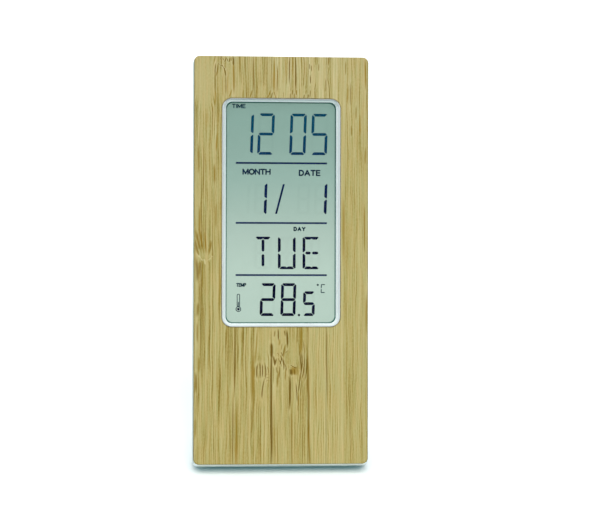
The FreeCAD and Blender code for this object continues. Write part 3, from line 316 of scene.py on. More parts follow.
@dataclass(frozen=True)
class Cell:
    """One figure's cell on the read-out.

    Attributes:
        x: left side at the foot.
        z: foot.
        width: across the bars' outsides.
        height: from foot to top.
        stroke: how thick a bar is.
        gap: clear space between an upper and a lower bar.
        flat_in: how far inside the cell's sides a flat bar ends.
        side_in: how far inside its foot and top a side bar ends.
        slant: how far the cell leans to the right, in degrees.
    """

    x: float
    z: float
    width: float
    height: float
    stroke: float
    gap: float = 0.46
    flat_in: float = 0.46
    side_in: float = 0.46
    slant: float = 2.0

    def _flat_bar(self, left: float, right: float, outside: float, inward: float) -> np.ndarray:
        """Draws a bar along the top or bottom: long outside edge, ends cut in at 45 degrees.

        Args:
            left: x of its left end.
            right: x of its right end.
            outside: z of its outside edge.
            inward: one if it grows up from there and minus one if it grows down.

        Returns:
            Rows of x, z.
        """
        cut = 0.3 * self.stroke
        deep = self.stroke - cut
        along = np.array([left + cut, right - cut, right, right - deep, left + deep, left])
        across = np.array([0.0, 0.0, cut, self.stroke, self.stroke, cut])
        return np.stack([along, outside + inward * across], axis=1)

    def _side_bar(self, low: float, high: float, outside: float, inward: float) -> np.ndarray:
        """Draws a bar up a side: the same shape as a flat bar, turned by a quarter."""
        return self._flat_bar(low, high, outside, inward)[:, ::-1]

    def _pointed(self, start: float, end: float, middle: float) -> np.ndarray:
        """Draws a bar with a point at each end, along a centre line.

        Args:
            start: where its first point is along the line.
            end: where its last point is.
            middle: where the line lies across.

        Returns:
            Rows of the place along the line and across it.
        """
        half = self.stroke / 2
        along = np.array([start, start + half, end - half, end, end - half, start + half])
        across = np.array([0.0, half, half, 0.0, -half, -half])
        return np.stack([along, middle + across], axis=1)

    def _notched(self, outside: float, inward: float) -> np.ndarray:
        """Draws a flat bar with a small notch in the middle of its inside edge.

        Args:
            outside: z of its outside edge.
            inward: one if it grows up from there and minus one if it grows down.

        Returns:
            Rows of x, z.
        """
        bar = self._flat_bar(self.flat_in, self.width - self.flat_in, outside, inward)
        middle = self.width / 2
        half = 0.45 * self.stroke
        across = np.array([self.stroke, 0.62 * self.stroke, self.stroke])
        notch = np.stack([[middle + half, middle, middle - half], outside + inward * across], axis=1)
        return np.concatenate([bar[:4], notch, bar[4:]])

    def outline(self, bar: Bar) -> np.ndarray:
        """Gives one bar's outline.

        Args:
            bar: which bar of the cell.

        Returns:
            Rows of x, z, counter-clockwise, leaning with the cell: x grows by the height times the
            tangent of the slant.
        """
        wide, high, gap, middle = self.width, self.height, self.gap, self.height / 2
        left, right = (0.0, 1.0), (wide, -1.0)
        start, end = self.flat_in, wide - self.flat_in
        low_span, high_span = (self.side_in, middle - gap / 2), (middle + gap / 2, high - self.side_in)
        shapes = {
            Bar.TOP: lambda: self._flat_bar(start, end, high, -1.0),
            Bar.BOTTOM: lambda: self._flat_bar(start, end, 0.0, 1.0),
            Bar.TOP_NOTCHED: lambda: self._notched(high, -1.0),
            Bar.BOTTOM_NOTCHED: lambda: self._notched(0.0, 1.0),
            Bar.LEFT_UPPER: lambda: self._side_bar(*high_span, *left),
            Bar.LEFT_LOWER: lambda: self._side_bar(*low_span, *left),
            Bar.RIGHT_UPPER: lambda: self._side_bar(*high_span, *right),
            Bar.RIGHT_LOWER: lambda: self._side_bar(*low_span, *right),
            Bar.MIDDLE: lambda: self._pointed(0.6 * start, wide - 0.6 * start, middle),
            Bar.DASH_LEFT: lambda: self._pointed(0.9 * self.stroke, wide / 2 - 0.3 * gap, middle),
            Bar.DASH_RIGHT: lambda: self._pointed(wide / 2 + 0.3 * gap, end, middle),
            Bar.STEM_UPPER: lambda: self._pointed(middle + gap, high - 0.9 * self.stroke, wide / 2)[:, ::-1],
            Bar.STEM_LOWER: lambda: self._pointed(0.9 * self.stroke, middle - gap, wide / 2)[:, ::-1],
        }
        points = shapes[bar]()
        points[:, 0] += self.x + points[:, 1] * math.tan(math.radians(self.slant))
        points[:, 1] += self.z
        around = np.roll(points, -1, axis=0)
        area = float((points[:, 0] * around[:, 1] - around[:, 0] * points[:, 1]).sum())
        return points if area > 0 else points[::-1]


class Reads(Enum):
    """Which way lettering faces."""

    FORWARD = "forward"
    BACKWARD = "backward"


def bend(
    x: float, z: float, across: float, up: float, start: float, end: float, steps: int = 9
) -> list[tuple[float, float]]:
    """Gives x, z in even steps round an ellipse from one angle to another, in degrees."""
    turn = np.radians(np.linspace(start, end, steps))
    return list(zip((x + across * np.cos(turn)).tolist(), (z + up * np.sin(turn)).tolist(), strict=True))


LETTERS = {
    "A": [[(0, 0), (0.42, 1), (0.84, 0)], [(0.13, 0.32), (0.71, 0.32)]],
    "C": [bend(0.42, 0.5, 0.42, 0.5, 48, 312, 12)],
    "D": [[(0.3, 0), (0, 0), (0, 1), (0.3, 1), *bend(0.3, 0.5, 0.42, 0.5, 90, -90)]],
    "E": [[(0.6, 1), (0, 1), (0, 0), (0.6, 0)], [(0, 0.52), (0.54, 0.52)]],
    "H": [[(0, 0), (0, 1)], [(0.74, 0), (0.74, 1)], [(0, 0.52), (0.74, 0.52)]],
    "I": [[(0, 0), (0, 1)]],
    "K": [[(0, 0), (0, 1)], [(0.64, 1), (0, 0.4)], [(0.22, 0.6), (0.68, 0)]],
    "L": [[(0, 1), (0, 0), (0.56, 0)]],
    "M": [[(0, 0), (0, 1), (0.45, 0.12), (0.9, 1), (0.9, 0)]],
    "N": [[(0, 0), (0, 1), (0.74, 0), (0.74, 1)]],
    "O": [bend(0.43, 0.5, 0.43, 0.5, 0, 360, 17)],
    "P": [[(0, 0), (0, 1), (0.36, 1), *bend(0.36, 0.74, 0.25, 0.26, 90, -90), (0, 0.48)]],
    "S": [[*bend(0.31, 0.76, 0.28, 0.24, 25, 270), *bend(0.31, 0.26, 0.31, 0.26, 90, -155)]],
    "T": [[(0, 1), (0.72, 1)], [(0.36, 1), (0.36, 0)]],
    "Y": [[(0, 1), (0.4, 0.46), (0.8, 1)], [(0.4, 0.46), (0.4, 0)]],
    "+": [[(0, 0.5), (1, 0.5)], [(0.5, 0), (0.5, 1)]],
    "-": [[(0, 0.5), (1, 0.5)]],
}


@dataclass(frozen=True)
class Word:
    """One word in plain strokes, fitted to a box.

    Attributes:
        words: what it says.
        x: middle of the box.
        z: middle of the box.
        width: the box across.
        height: the box up.
        stroke: how thick the strokes are.
        gap: space between letters, as a share of their height.
    """

    words: str
    x: float
    z: float
    width: float
    height: float
    stroke: float
    gap: float = 0.26

    def draw(self, plates: Plates, reads: Reads) -> None:
        """Adds a small plate for each straight part of every stroke.

        The letters' own width and height become the box less one stroke. A plate reaches a little
        past both ends of its part, so that neighbours close up.

        Args:
            plates: what the plates are added to.
            reads: whether the word is read from the front or from behind.
        """
        lines, pen = [], 0.0
        for letter in self.words:
            own = [np.array(line, dtype=float) for line in LETTERS[letter]]
            lines += [line + (pen, 0.0) for line in own]
            pen += max(float(line[:, 0].max()) for line in own) + self.gap
        size = np.array([(self.width - self.stroke) / (pen - self.gap), self.height - self.stroke])
        corner = np.array([self.width - self.stroke, self.height - self.stroke]) / -2
        turned = 1.0 if reads is Reads.FORWARD else -1.0
        for line in lines:
            placed = corner + line * size
            for start, end in zip(placed[:-1], placed[1:], strict=True):
                along = (end - start) / max(float(np.linalg.norm(end - start)), 1e-6) * self.stroke / 2
                side = np.array([-along[1], along[0]])
                start, end = start - 0.7 * along, end + 0.7 * along
                outline = np.array([start - side, end - side, end + side, start + side])
                outline = outline * (turned, 1.0) + (self.x, self.z)
                plates.plate(outline if reads is Reads.FORWARD else outline[::-1])


# ---- shader nodes


class Signal:
    """What one output of a shader node gives. Numbers among them take plain arithmetic.

    Attributes:
        nodes: the nodes that it belongs to.
        socket: the output.
    """

    def __init__(self, nodes: "Nodes", socket: bpy.types.NodeSocket) -> None:
        """Names an output."""
        self.nodes = nodes
        self.socket = socket

    def __add__(self, other: "Value") -> "Signal":
        """Gives the sum."""
        return self.nodes.math("ADD", self, other)

    def __sub__(self, other: "Value") -> "Signal":
        """Gives what is left after taking the other away."""
        return self.nodes.math("SUBTRACT", self, other)

    def __rsub__(self, other: float) -> "Signal":
        """Gives what is left of a plain number."""
        return self.nodes.math("SUBTRACT", other, self)

    def __mul__(self, other: "Value") -> "Signal":
        """Gives the product."""
        return self.nodes.math("MULTIPLY", self, other)

    def __truediv__(self, other: "Value") -> "Signal":
        """Gives the quotient."""
        return self.nodes.math("DIVIDE", self, other)

    def __rtruediv__(self, other: float) -> "Signal":
        """Divides a plain number."""
        return self.nodes.math("DIVIDE", other, self)

    def __abs__(self) -> "Signal":
        """Drops the sign."""
        return self.nodes.math("ABSOLUTE", self)

    def scaled(self, share: "Value", plus: "Value") -> "Signal":
        """Gives its product with share, and adds plus, in one node."""
        return self.nodes.math("MULTIPLY_ADD", self, share, plus)

    def ease(self, low: float, high: float, out_low: float = 0.0, out_high: float = 1.0) -> "Signal":
        """Carries low to high smoothly onto out_low to out_high, and holds beyond."""
        inputs = {"Value": self, "From Min": low, "From Max": high, "To Min": out_low, "To Max": out_high}
        return self.nodes.signal("ShaderNodeMapRange", inputs, interpolation_type="SMOOTHSTEP")

    def ramp(self, places: tuple[float, ...], colours: tuple[Colour, ...]) -> "Signal":
        """Runs a number through a row of colours.

        Args:
            places: where the colours stand, from 0 to 1, in rising order.
            colours: the colour at each place.

        Returns:
            The colour.
        """
        made = self.nodes.node("ShaderNodeValToRGB", {0: self})
        elements = made.color_ramp.elements
        for place in places[1:-1]:
            elements.new(place)
        for element, place, colour in zip(elements, places, colours, strict=True):
            element.position = place
            element.color = (*colour, 1.0)
        return Signal(self.nodes, made.outputs[0])

    def parts(self) -> tuple["Signal", ...]:
        """Splits a vector into its three numbers."""
        made = self.nodes.node("ShaderNodeSeparateXYZ", {0: self})
        return tuple(Signal(self.nodes, socket) for socket in made.outputs)

    def stretched(self, x: float, y: float, z: float) -> "Signal":
        """Multiplies a vector's three numbers."""
        return self.nodes.signal("ShaderNodeVectorMath", {0: self, 1: (x, y, z)}, operation="MULTIPLY")

    def noise(self, scale: "Value" = 1.0, detail: float = 2.0) -> "Signal":
        """Gives soft noise at a place, from 0 to 1 and mostly near a half."""
        return self.nodes.signal("ShaderNodeTexNoise", {"Vector": self, "Scale": scale, "Detail": detail})

    def dice(self) -> "Signal":
        """Gives a number its own chance value from 0 to 1."""
        return self.nodes.signal("ShaderNodeTexWhiteNoise", {"W": self}, noise_dimensions="1D")


Value = float | Signal
Paint = Colour | Signal


class Nodes:
    """Adds nodes to one node tree."""

    def __init__(self, tree: bpy.types.NodeTree) -> None:
        """Starts on an empty tree."""
        self.tree = tree
        tree.nodes.clear()

    def feed(self, socket: bpy.types.NodeSocket, value: object) -> None:
        """Links a socket to a signal, or sets its own value.

        Args:
            socket: the input.
            value: a signal, a number, three numbers, or a colour without its fourth number.
        """
        if isinstance(value, Signal):
            self.tree.links.new(value.socket, socket)
        elif isinstance(value, tuple) and socket.type == "RGBA":
            socket.default_value = (*value, 1.0)
        else:
            socket.default_value = value

    def node(self, kind: str, inputs: dict | None = None, **settings: object) -> bpy.types.Node:
        """Adds a node.

        Args:
            kind: the node's type.
            inputs: values for its sockets, by name or number.
            **settings: values for its own properties.

        Returns:
            The node.
        """
        made = self.tree.nodes.new(kind)
        for name, value in settings.items():
            setattr(made, name, value)
        for name, value in (inputs or {}).items():
            self.feed(made.inputs[name], value)
        return made

    def signal(self, kind: str, inputs: dict, output: int = 0, **settings: object) -> Signal:
        """Adds a node as node does, and gives one of its outputs by number."""
        return Signal(self, self.node(kind, inputs, **settings).outputs[output])

    def signals(self, made: bpy.types.Node) -> dict[str, Signal]:
        """Gives all outputs of a node by name."""
        return {socket.name: Signal(self, socket) for socket in made.outputs}

    def group(self, tree: bpy.types.NodeTree, **inputs: object) -> dict[str, Signal]:
        """Places a node group; its inputs are written with _ for each space."""
        named = {name.replace("_", " "): value for name, value in inputs.items()}
        return self.signals(self.node("ShaderNodeGroup", named, node_tree=tree))

    def math(self, operation: str, *values: Value, clamp: bool = False) -> Signal:
        """Works out one number from up to three."""
        return self.signal("ShaderNodeMath", dict(enumerate(values)), operation=operation, use_clamp=clamp)

    def vector(self, x: Value, y: Value, z: Value) -> Signal:
        """Joins three numbers into a vector."""
        return self.signal("ShaderNodeCombineXYZ", {0: x, 1: y, 2: z})

    def mix(self, share: Value, first: Paint, second: Paint, blend: str = "MIX") -> Signal:
        """Mixes two colours; the node's colour sockets are inputs 6 and 7 and output 2."""
        inputs = {0: share, 6: first, 7: second}
        return self.signal("ShaderNodeMix", inputs, 2, data_type="RGBA", blend_type=blend)

    def blend(self, colour: Signal, layers: list[tuple[Value, Paint]]) -> Signal:
        """Lays colours over one another.

        Args:
            colour: the lowest one.
            layers: the share and the colour of each that follows.

        Returns:
            The colour on top.
        """
        for share, layer in layers:
            colour = self.mix(share, colour, layer)
        return colour


class Groups:
    """The effects that several finishes share, each a node group that is built once."""

    def __init__(self) -> None:
        """Starts with no group built."""
        self.built: dict[str, bpy.types.NodeTree] = {}

    def _socket(self, tree: bpy.types.NodeTree, way: str, label: str) -> bpy.types.NodeTreeInterfaceSocket:
        """Adds a socket: Position and Facing are vectors, and every other one is a number."""
        kind = "NodeSocketVector" if label in ("Position", "Facing") else "NodeSocketFloat"
        return tree.interface.new_socket(label, in_out=way, socket_type=kind)

    def _once(self, work: Callable, **inputs: float | None) -> bpy.types.NodeTree:
        """Builds a group the first time that it is asked for.

        Args:
            work: takes the group's nodes and its inputs by name, and gives its outputs by name.
            **inputs: the usual values of those inputs, written with _ for each space.

        Returns:
            The group.
        """
        name = work.__name__.strip("_")
        if name in self.built:
            return self.built[name]
        tree = bpy.data.node_groups.new(name, "ShaderNodeTree")
        nodes = Nodes(tree)
        for label, value in inputs.items():
            socket = self._socket(tree, "INPUT", label.replace("_", " "))
            if value is not None:
                socket.default_value = value
        results = work(nodes, nodes.signals(nodes.node("NodeGroupInput")))
        for label in results:
            self._socket(tree, "OUTPUT", label)
        nodes.node("NodeGroupOutput", results)
        self.built[name] = tree
        return tree

    @property
    def face_position(self) -> bpy.types.NodeTree:
        """Where a point is in the face's upright frame, in millimetres, and that frame's normal."""
        return self._once(self._face_position)

    def _face_position(self, nodes: Nodes, given: dict[str, Signal]) -> dict[str, Signal]:
        """Turns Object coordinates by the lean and moves the face's origin to zero.

        Args:
            nodes: the group's nodes.
            given: its inputs, of which there are none.

        Returns:
            The place and the normal.
        """
        coordinates = nodes.signals(nodes.node("ShaderNodeTexCoord"))
        turn = (FACE.lean, 0.0, 0.0)
        start = -Vector((FACE.origin.x, FACE.origin @ FACE.back, FACE.origin @ FACE.up))
        inputs = {"Vector": coordinates["Object"], "Rotation": turn, "Location": tuple(start)}
        upright = nodes.signal("ShaderNodeMapping", inputs).stretched(1 / MM, 1 / MM, 1 / MM)
        inputs = {"Vector": coordinates["Normal"], "Rotation": turn}
        facing = nodes.signal("ShaderNodeMapping", inputs, vector_type="NORMAL")
        return {"Position": upright, "Facing": facing}

    @property
    def moulded_grain(self) -> bpy.types.NodeTree:
        """The fine spark-eroded grain of moulded plastic, with the soft mottle of handling."""
        return self._once(self._moulded_grain, Position=None, Grain_Size=0.25)

    def _moulded_grain(self, nodes: Nodes, given: dict[str, Signal]) -> dict[str, Signal]:
        """Adds up noise: at the grain's size for Height, and two slow ones for Mottle.

        Args:
            nodes: the group's nodes.
            given: its inputs.

        Returns:
            The height and the mottle, both from 0 to 1.
        """
        position = given["Position"]
        slow = position.noise(0.05, 3.0) + position.noise(0.4)
        return {"Height": position.noise(1.0 / given["Grain Size"], 3.0), "Mottle": slow.ease(0.75, 1.25)}

    @property
    def edge_wear(self) -> bpy.types.NodeTree:
        """Where an edge or corner is near: 0 on flats and 1 where it is sharpest."""
        return self._once(self._edge_wear, Position=None, Reach=0.4)

    def _edge_wear(self, nodes: Nodes, given: dict[str, Signal]) -> dict[str, Signal]:
        """Takes how far the rounded normal disagrees with the true one, broken up by noise.

        Args:
            nodes: the group's nodes.
            given: its inputs.

        Returns:
            The wear.
        """
        soft = nodes.signal("ShaderNodeBevel", {"Radius": given["Reach"] * MM}, samples=4)
        true = nodes.signals(nodes.node("ShaderNodeNewGeometry"))["Normal"]
        agree = nodes.signal("ShaderNodeVectorMath", {0: soft, 1: true}, 1, operation="DOT_PRODUCT")
        broken = given["Position"].noise(1.2, 4.0).ease(0.3, 0.6, 0.35, 1.0)
        return {"Wear": agree.ease(1.0, 0.9) * broken}

    @property
    def bare_patch(self) -> bpy.types.NodeTree:
        """A calm, pale patch beside a stalk joint, round which the fibres part."""
        place = dict.fromkeys(("Across", "Along", "X", "Z"), 0)
        return self._once(self._bare_patch, **place, Half_Width=3, Half_Height=4, Strength=1)

    def _bare_patch(self, nodes: Nodes, given: dict[str, Signal]) -> dict[str, Signal]:
        """Works in the patch's own terms: t across and s along, both 1 at its edge.

        The zone fades with the length of (t, s), and the fibres part by t times the zone.

        Args:
            nodes: the group's nodes.
            given: its inputs.

        Returns:
            How far the fibres part, in millimetres, and the zone.
        """
        t = (given["Across"] - given["X"]) / given["Half Width"]
        s = (given["Along"] - given["Z"]) / given["Half Height"]
        zone = t.scaled(t, plus=s * s).ease(1.3, 0.3) * given["Strength"]
        return {"Part": t * zone * given["Half Width"] * 0.3, "Zone": zone}

    @property
    def fibre_mark(self) -> bpy.types.NodeTree:
        """One long mark in the grain, thinning to both ends."""
        place = dict.fromkeys(("Across", "Along", "X", "Z", "Lean", "Bow"), 0)
        return self._once(self._fibre_mark, **place, Half_Width=0.3, Half_Length=4)

    def _fibre_mark(self, nodes: Nodes, given: dict[str, Signal]) -> dict[str, Signal]:
        """Measures from the mark's own curved middle line.

        With u running from -1 to 1 up the mark, its middle line is X + Lean u + Bow u squared, and q
        is the distance from it in half widths. With a = q squared + u to the fourth, the mark is
        (1.5 - a) times 0.4 to the power a: full in the middle and a little below zero in a rim.

        Args:
            nodes: the group's nodes.
            given: its inputs.

        Returns:
            The mark.
        """
        u = (given["Along"] - given["Z"]) / given["Half Length"]
        square = u * u
        line = u.scaled(given["Lean"], plus=square.scaled(given["Bow"], plus=given["X"]))
        q = (given["Across"] - line) / given["Half Width"]
        a = q.scaled(q, plus=square * square)
        return {"Mark": (1.5 - a) * nodes.math("POWER", 0.4, a)}


# ---- finishes


@dataclass(frozen=True)
class Coat:
    """A material while it is being made.

    Attributes:
        material: the material.
        nodes: its nodes.
        shader: its Principled shader.
        output: its output node.
        position: where a point is in the face's frame, in millimetres.
        facing: the normal there, in that frame.
        groups: the shared effects.
    """

    material: bpy.types.Material
    nodes: Nodes
    shader: bpy.types.Node
    output: bpy.types.Node
    position: Signal
    facing: Signal
    groups: Groups

    @classmethod
    def start(cls, name: str, groups: Groups) -> "Coat":
        """Makes a material that shows a Principled shader.

        Args:
            name: the material's name.
            groups: the shared effects.

        Returns:
            The coat.
        """
        material = bpy.data.materials.new(name)
        material.use_nodes = True
        nodes = Nodes(material.node_tree)
        shader = nodes.node("ShaderNodeBsdfPrincipled")
        output = nodes.node("ShaderNodeOutputMaterial", {"Surface": Signal(nodes, shader.outputs[0])})
        output.is_active_output = True
        placed = nodes.group(groups.face_position)
        return cls(material, nodes, shader, output, placed["Position"], placed["Facing"], groups)

    def set(self, **values: object) -> None:
        """Sets the shader's sockets, whose names are written with _ for each space."""
        for name, value in values.items():
            self.nodes.feed(self.shader.inputs[name.replace("_", " ")], value)

    def grain(self, size: float) -> dict[str, Signal]:
        """Places the moulded grain at a size in millimetres."""
        return self.nodes.group(self.groups.moulded_grain, Position=self.position, Grain_Size=size)

    def wear(self, reach: float) -> Signal:
        """Places the edge wear, whose edges reach this many millimetres."""
        return self.nodes.group(self.groups.edge_wear, Position=self.position, Reach=reach)["Wear"]

    def bump(self, height: Signal, depth: float) -> None:
        """Gives the surface relief: depth is in millimetres for a height from 0 to 1."""
        inputs = {"Height": height, "Distance": depth * MM, "Strength": 1.0}
        self.set(Normal=self.nodes.signal("ShaderNodeBump", inputs))


@dataclass(frozen=True)
class Finish:
    """What every finish holds.

    Attributes:
        name: the material's name.
    """

    name: str

    def make(self, groups: Groups) -> bpy.types.Material:
        """Builds the material.

        Args:
            groups: the shared effects.

        Returns:
            The material.
        """
        coat = Coat.start(self.name, groups)
        self.paint(coat)
        return coat.material

    def paint(self, coat: Coat) -> None:
        """Sets what the coat's shader shows; each finish does it in its own way."""
        raise NotImplementedError


@dataclass(frozen=True)
class Moulded(Finish):
    """Moulded plastic, rubber or ceramic with a fine grain.

    Attributes:
        colour: its colour.
        roughness: how dull it is.
        grain: size of the grain.
        depth: how deep the grain is.
        soil: how much darker the handled patches are, as a share.
        rubbed: how much paler the edges are, as a share.
        shine: share of the usual mirror-like light.
        worn_reach: how far the edges' wear reaches.
    """

    colour: Colour = (0.8, 0.8, 0.8)
    roughness: float = 0.45
    grain: float = 0.25
    depth: float = 0.012
    soil: float = 0.03
    rubbed: float = 0.15
    shine: float = 0.5
    worn_reach: float = 0.3

    def paint(self, coat: Coat) -> None:
        """Lays fine grain, the soil of handling and worn edges over the colour.

        Args:
            coat: the material so far.
        """
        grain = coat.grain(self.grain)
        soiled = tuple(value * (1 - 2.5 * self.soil) for value in self.colour)
        worn = tuple(value + (1 - value) * self.rubbed for value in self.colour)
        handled = coat.nodes.mix(grain["Mottle"], self.colour, soiled)
        colour = coat.nodes.mix(coat.wear(self.worn_reach), handled, worn)
        dullness = grain["Mottle"].ease(0, 1, self.roughness * 0.9, min(1.0, self.roughness * 1.12))
        coat.set(Base_Color=self.shaded(coat, colour), Roughness=dullness, Specular_IOR_Level=self.shine)
        coat.bump(grain["Height"], self.depth)

    def shaded(self, coat: Coat, colour: Signal) -> Signal:
        """Gives the plain mouldings' colour back as it is."""
        return colour


@dataclass(frozen=True)
class RingPlastic(Moulded):
    """The ring's moulding, with a painted glow at its inner lip and painted shade along its outer edge and
    its head.

    Attributes:
        corner: radius of the ring's outer corners.
        shade: share of the colour left at the outer edge, where shade is painted.
        head_shade: share left at the edge of its head, painted shade under the wood's rim.
        gathered: painted light given off at the inner lip as a glow, but for the foot's, which faces the
            light.
        head_gathered: painted light given off at the head's lip.
        outer: how far in from the outline the painted shade ends and where it is full.
        inner: how far in the lip's painted glow starts and where it is full.
        head: how far below the ring's top its head starts, and where its painted shade and its lip's painted
            glow are full.
        foot: how far above the ring's lower edge its foot ends and its sides start.
    """

    corner: float = 3.4
    shade: float = 0.7
    head_shade: float = 0.36
    gathered: float = 0.1
    head_gathered: float = 0.26
    outer: tuple[float, float] = (0.6, 0.1)
    inner: tuple[float, float] = (0.35, 0.85)
    head: tuple[float, float, float] = (1.6, 0.5, 1.0)
    foot: tuple[float, float] = (1.0, 3.0)

    def shaded(self, coat: Coat, colour: Signal) -> Signal:
        """Paints shade into the colour by how far in from the ring's outer outline a point lies, and paints a
        glow at its lip.

        The outline is a box with round corners. With p the distance from the middle less half the
        box and plus the corner, a point lies corner - length(max(p, 0)) - min(max(px, pz), 0) inside.

        Args:
            coat: the material so far, whose lip is given a painted glow.
            colour: the colour so far.

        Returns:
            The colour with the painted shade.
        """
        low, high = (corner.tolist() for corner in face_box("display_ring"))
        places, p = coat.position.parts(), []
        for axis in (0, 2):
            middle, half = (low[axis] + high[axis]) / 2, (high[axis] - low[axis]) / 2
            p.append(abs(places[axis] - middle) - (half - self.corner))
        px, pz = (coat.nodes.math("MAXIMUM", value, 0.0) for value in p)
        length = coat.nodes.math("SQRT", px.scaled(px, plus=pz * pz))
        within = coat.nodes.math("MINIMUM", coat.nodes.math("MAXIMUM", *p), 0.0)
        inside = self.corner - length - within

        z, foot, top = places[2], low[2], high[2]
        start, shade_full, lip_full = (top - below for below in self.head)
        # painted shade: darker towards the outer edge, darkest along the head under the wood's rim
        side = z.ease(start, shade_full, self.shade, self.head_shade)
        left = inside.ease(*self.outer).scaled(side - 1.0, plus=1.0)
        # painted light: a glow at the inner lip, none at the foot and more at the head
        lip = z.ease(foot + self.foot[0], foot + self.foot[1], 0.0, self.gathered)
        lip = lip + z.ease(start, lip_full, 0.0, self.head_gathered - self.gathered)
        coat.set(Emission_Color=self.colour, Emission_Strength=inside.ease(*self.inner) * lip)
        return coat.nodes.mix(1.0, colour, coat.nodes.vector(left, left, left), "MULTIPLY")


@dataclass(frozen=True)
class ShellPlastic(Moulded):
    """The shells' moulding, whose lip below the wood has painted light, a glow where the wood's edge shades
    it.

    Attributes:
        lip: how far down the lip's painted glow reaches.
        deep: how far back from its front.
        gathered: painted light given off there, as a glow.
    """

    lip: float = 0.7
    deep: float = 0.3
    gathered: float = 0.4

    def shaded(self, coat: Coat, colour: Signal) -> Signal:
        """Paints light onto the front of the lip as a glow, down to its rounding; the wood's edge is at z =
        0.

        Args:
            coat: the material so far.
            colour: the colour so far.

        Returns:
            The colour, as it is.
        """
        _, y, z = coat.position.parts()
        front = float(face_box("front_shell")[0][1])
        # painted light: a glow on the front of the lip, just below the wood's edge
        below = z.ease(0.1, 0.0) * z.ease(-1.3 * self.lip, -self.lip)
        lit = below * y.ease(front + 2 * self.deep, front + self.deep)
        coat.set(Emission_Color=self.colour, Emission_Strength=lit * self.gathered)
        return colour


@dataclass(frozen=True)
class Metal(Finish):
    """Drawn or turned metal.

    Attributes:
        colour: its colour.
        roughness: how dull it is.
        tarnish: colour of its duller patches.
        patches: size of those patches' grain.
        drawn: how close the scratches lie along x, y and z.
        depth: how deep they are.
    """

    colour: Colour = (0.6, 0.6, 0.6)
    roughness: float = 0.3
    tarnish: Colour = (0.4, 0.4, 0.4)
    patches: float = 0.5
    drawn: tuple[float, float, float] = (0.6, 9.0, 9.0)
    depth: float = 0.006

    def paint(self, coat: Coat) -> None:
        """Draws fine scratches along x.

        Args:
            coat: the material so far.
        """
        scratch = coat.position.stretched(*self.drawn).noise(1.0, 3.0)
        mottle = coat.grain(self.patches)["Mottle"]
        dullness = scratch.ease(0.2, 0.8, self.roughness * 0.8, self.roughness * 1.3)
        colour = coat.nodes.mix(mottle, self.colour, self.tarnish)
        coat.set(Base_Color=colour, Metallic=1.0, Roughness=dullness)
        coat.bump(scratch, self.depth)


@dataclass(frozen=True)
class BarePatch:
    """A calm, pale patch of the wood, as beside a joint of the stalk.

    Attributes:
        x: its middle.
        z: its middle.
        half_width: how far it reaches to each side.
        half_height: how far it reaches up and down.
        strength: how plainly it shows, from 0 to 1.
    """

    x: float
    z: float
    half_width: float
    half_height: float
    strength: float


@dataclass(frozen=True)
class FibreMark:
    """A mark in the grain, drawn out along the fibres.

    Attributes:
        x: across at its middle.
        z: height of its middle.
        half_width: half its width.
        half_length: half its length.
        lean: how far its upper end is to the right of its middle.
        bow: how far both its ends are to the right of its middle.
        tone: -1 for pale, 0 for golden and 1 for dark brown.
        strength: how plainly it shows, from 0 to 1.
    """

    x: float
    z: float
    half_width: float
    half_length: float
    lean: float
    bow: float
    tone: float
    strength: float

    @property
    def shares(self) -> dict[str, float]:
        """How much of each of the three tones it lays down."""
        amounts = {"pale": max(0.0, -self.tone), "golden": 1.0 - abs(self.tone), "brown": max(0.0, self.tone)}
        return {name: self.strength * amount for name, amount in amounts.items()}


@dataclass(frozen=True)
class Fibres:
    """Noise drawn out along the grain.

    Attributes:
        across: how many fibres to a millimetre across.
        along: how many to a millimetre along.
        detail: how much finer noise it holds.
        weight: how strongly it moves the wood's tone.
    """

    across: float
    along: float
    detail: float
    weight: float = 1.0

    def draw(self, place: Signal) -> Signal:
        """Gives the noise at a place, from 0 to 1."""
        return place.stretched(self.across, self.across, self.along).noise(1.0, self.detail)


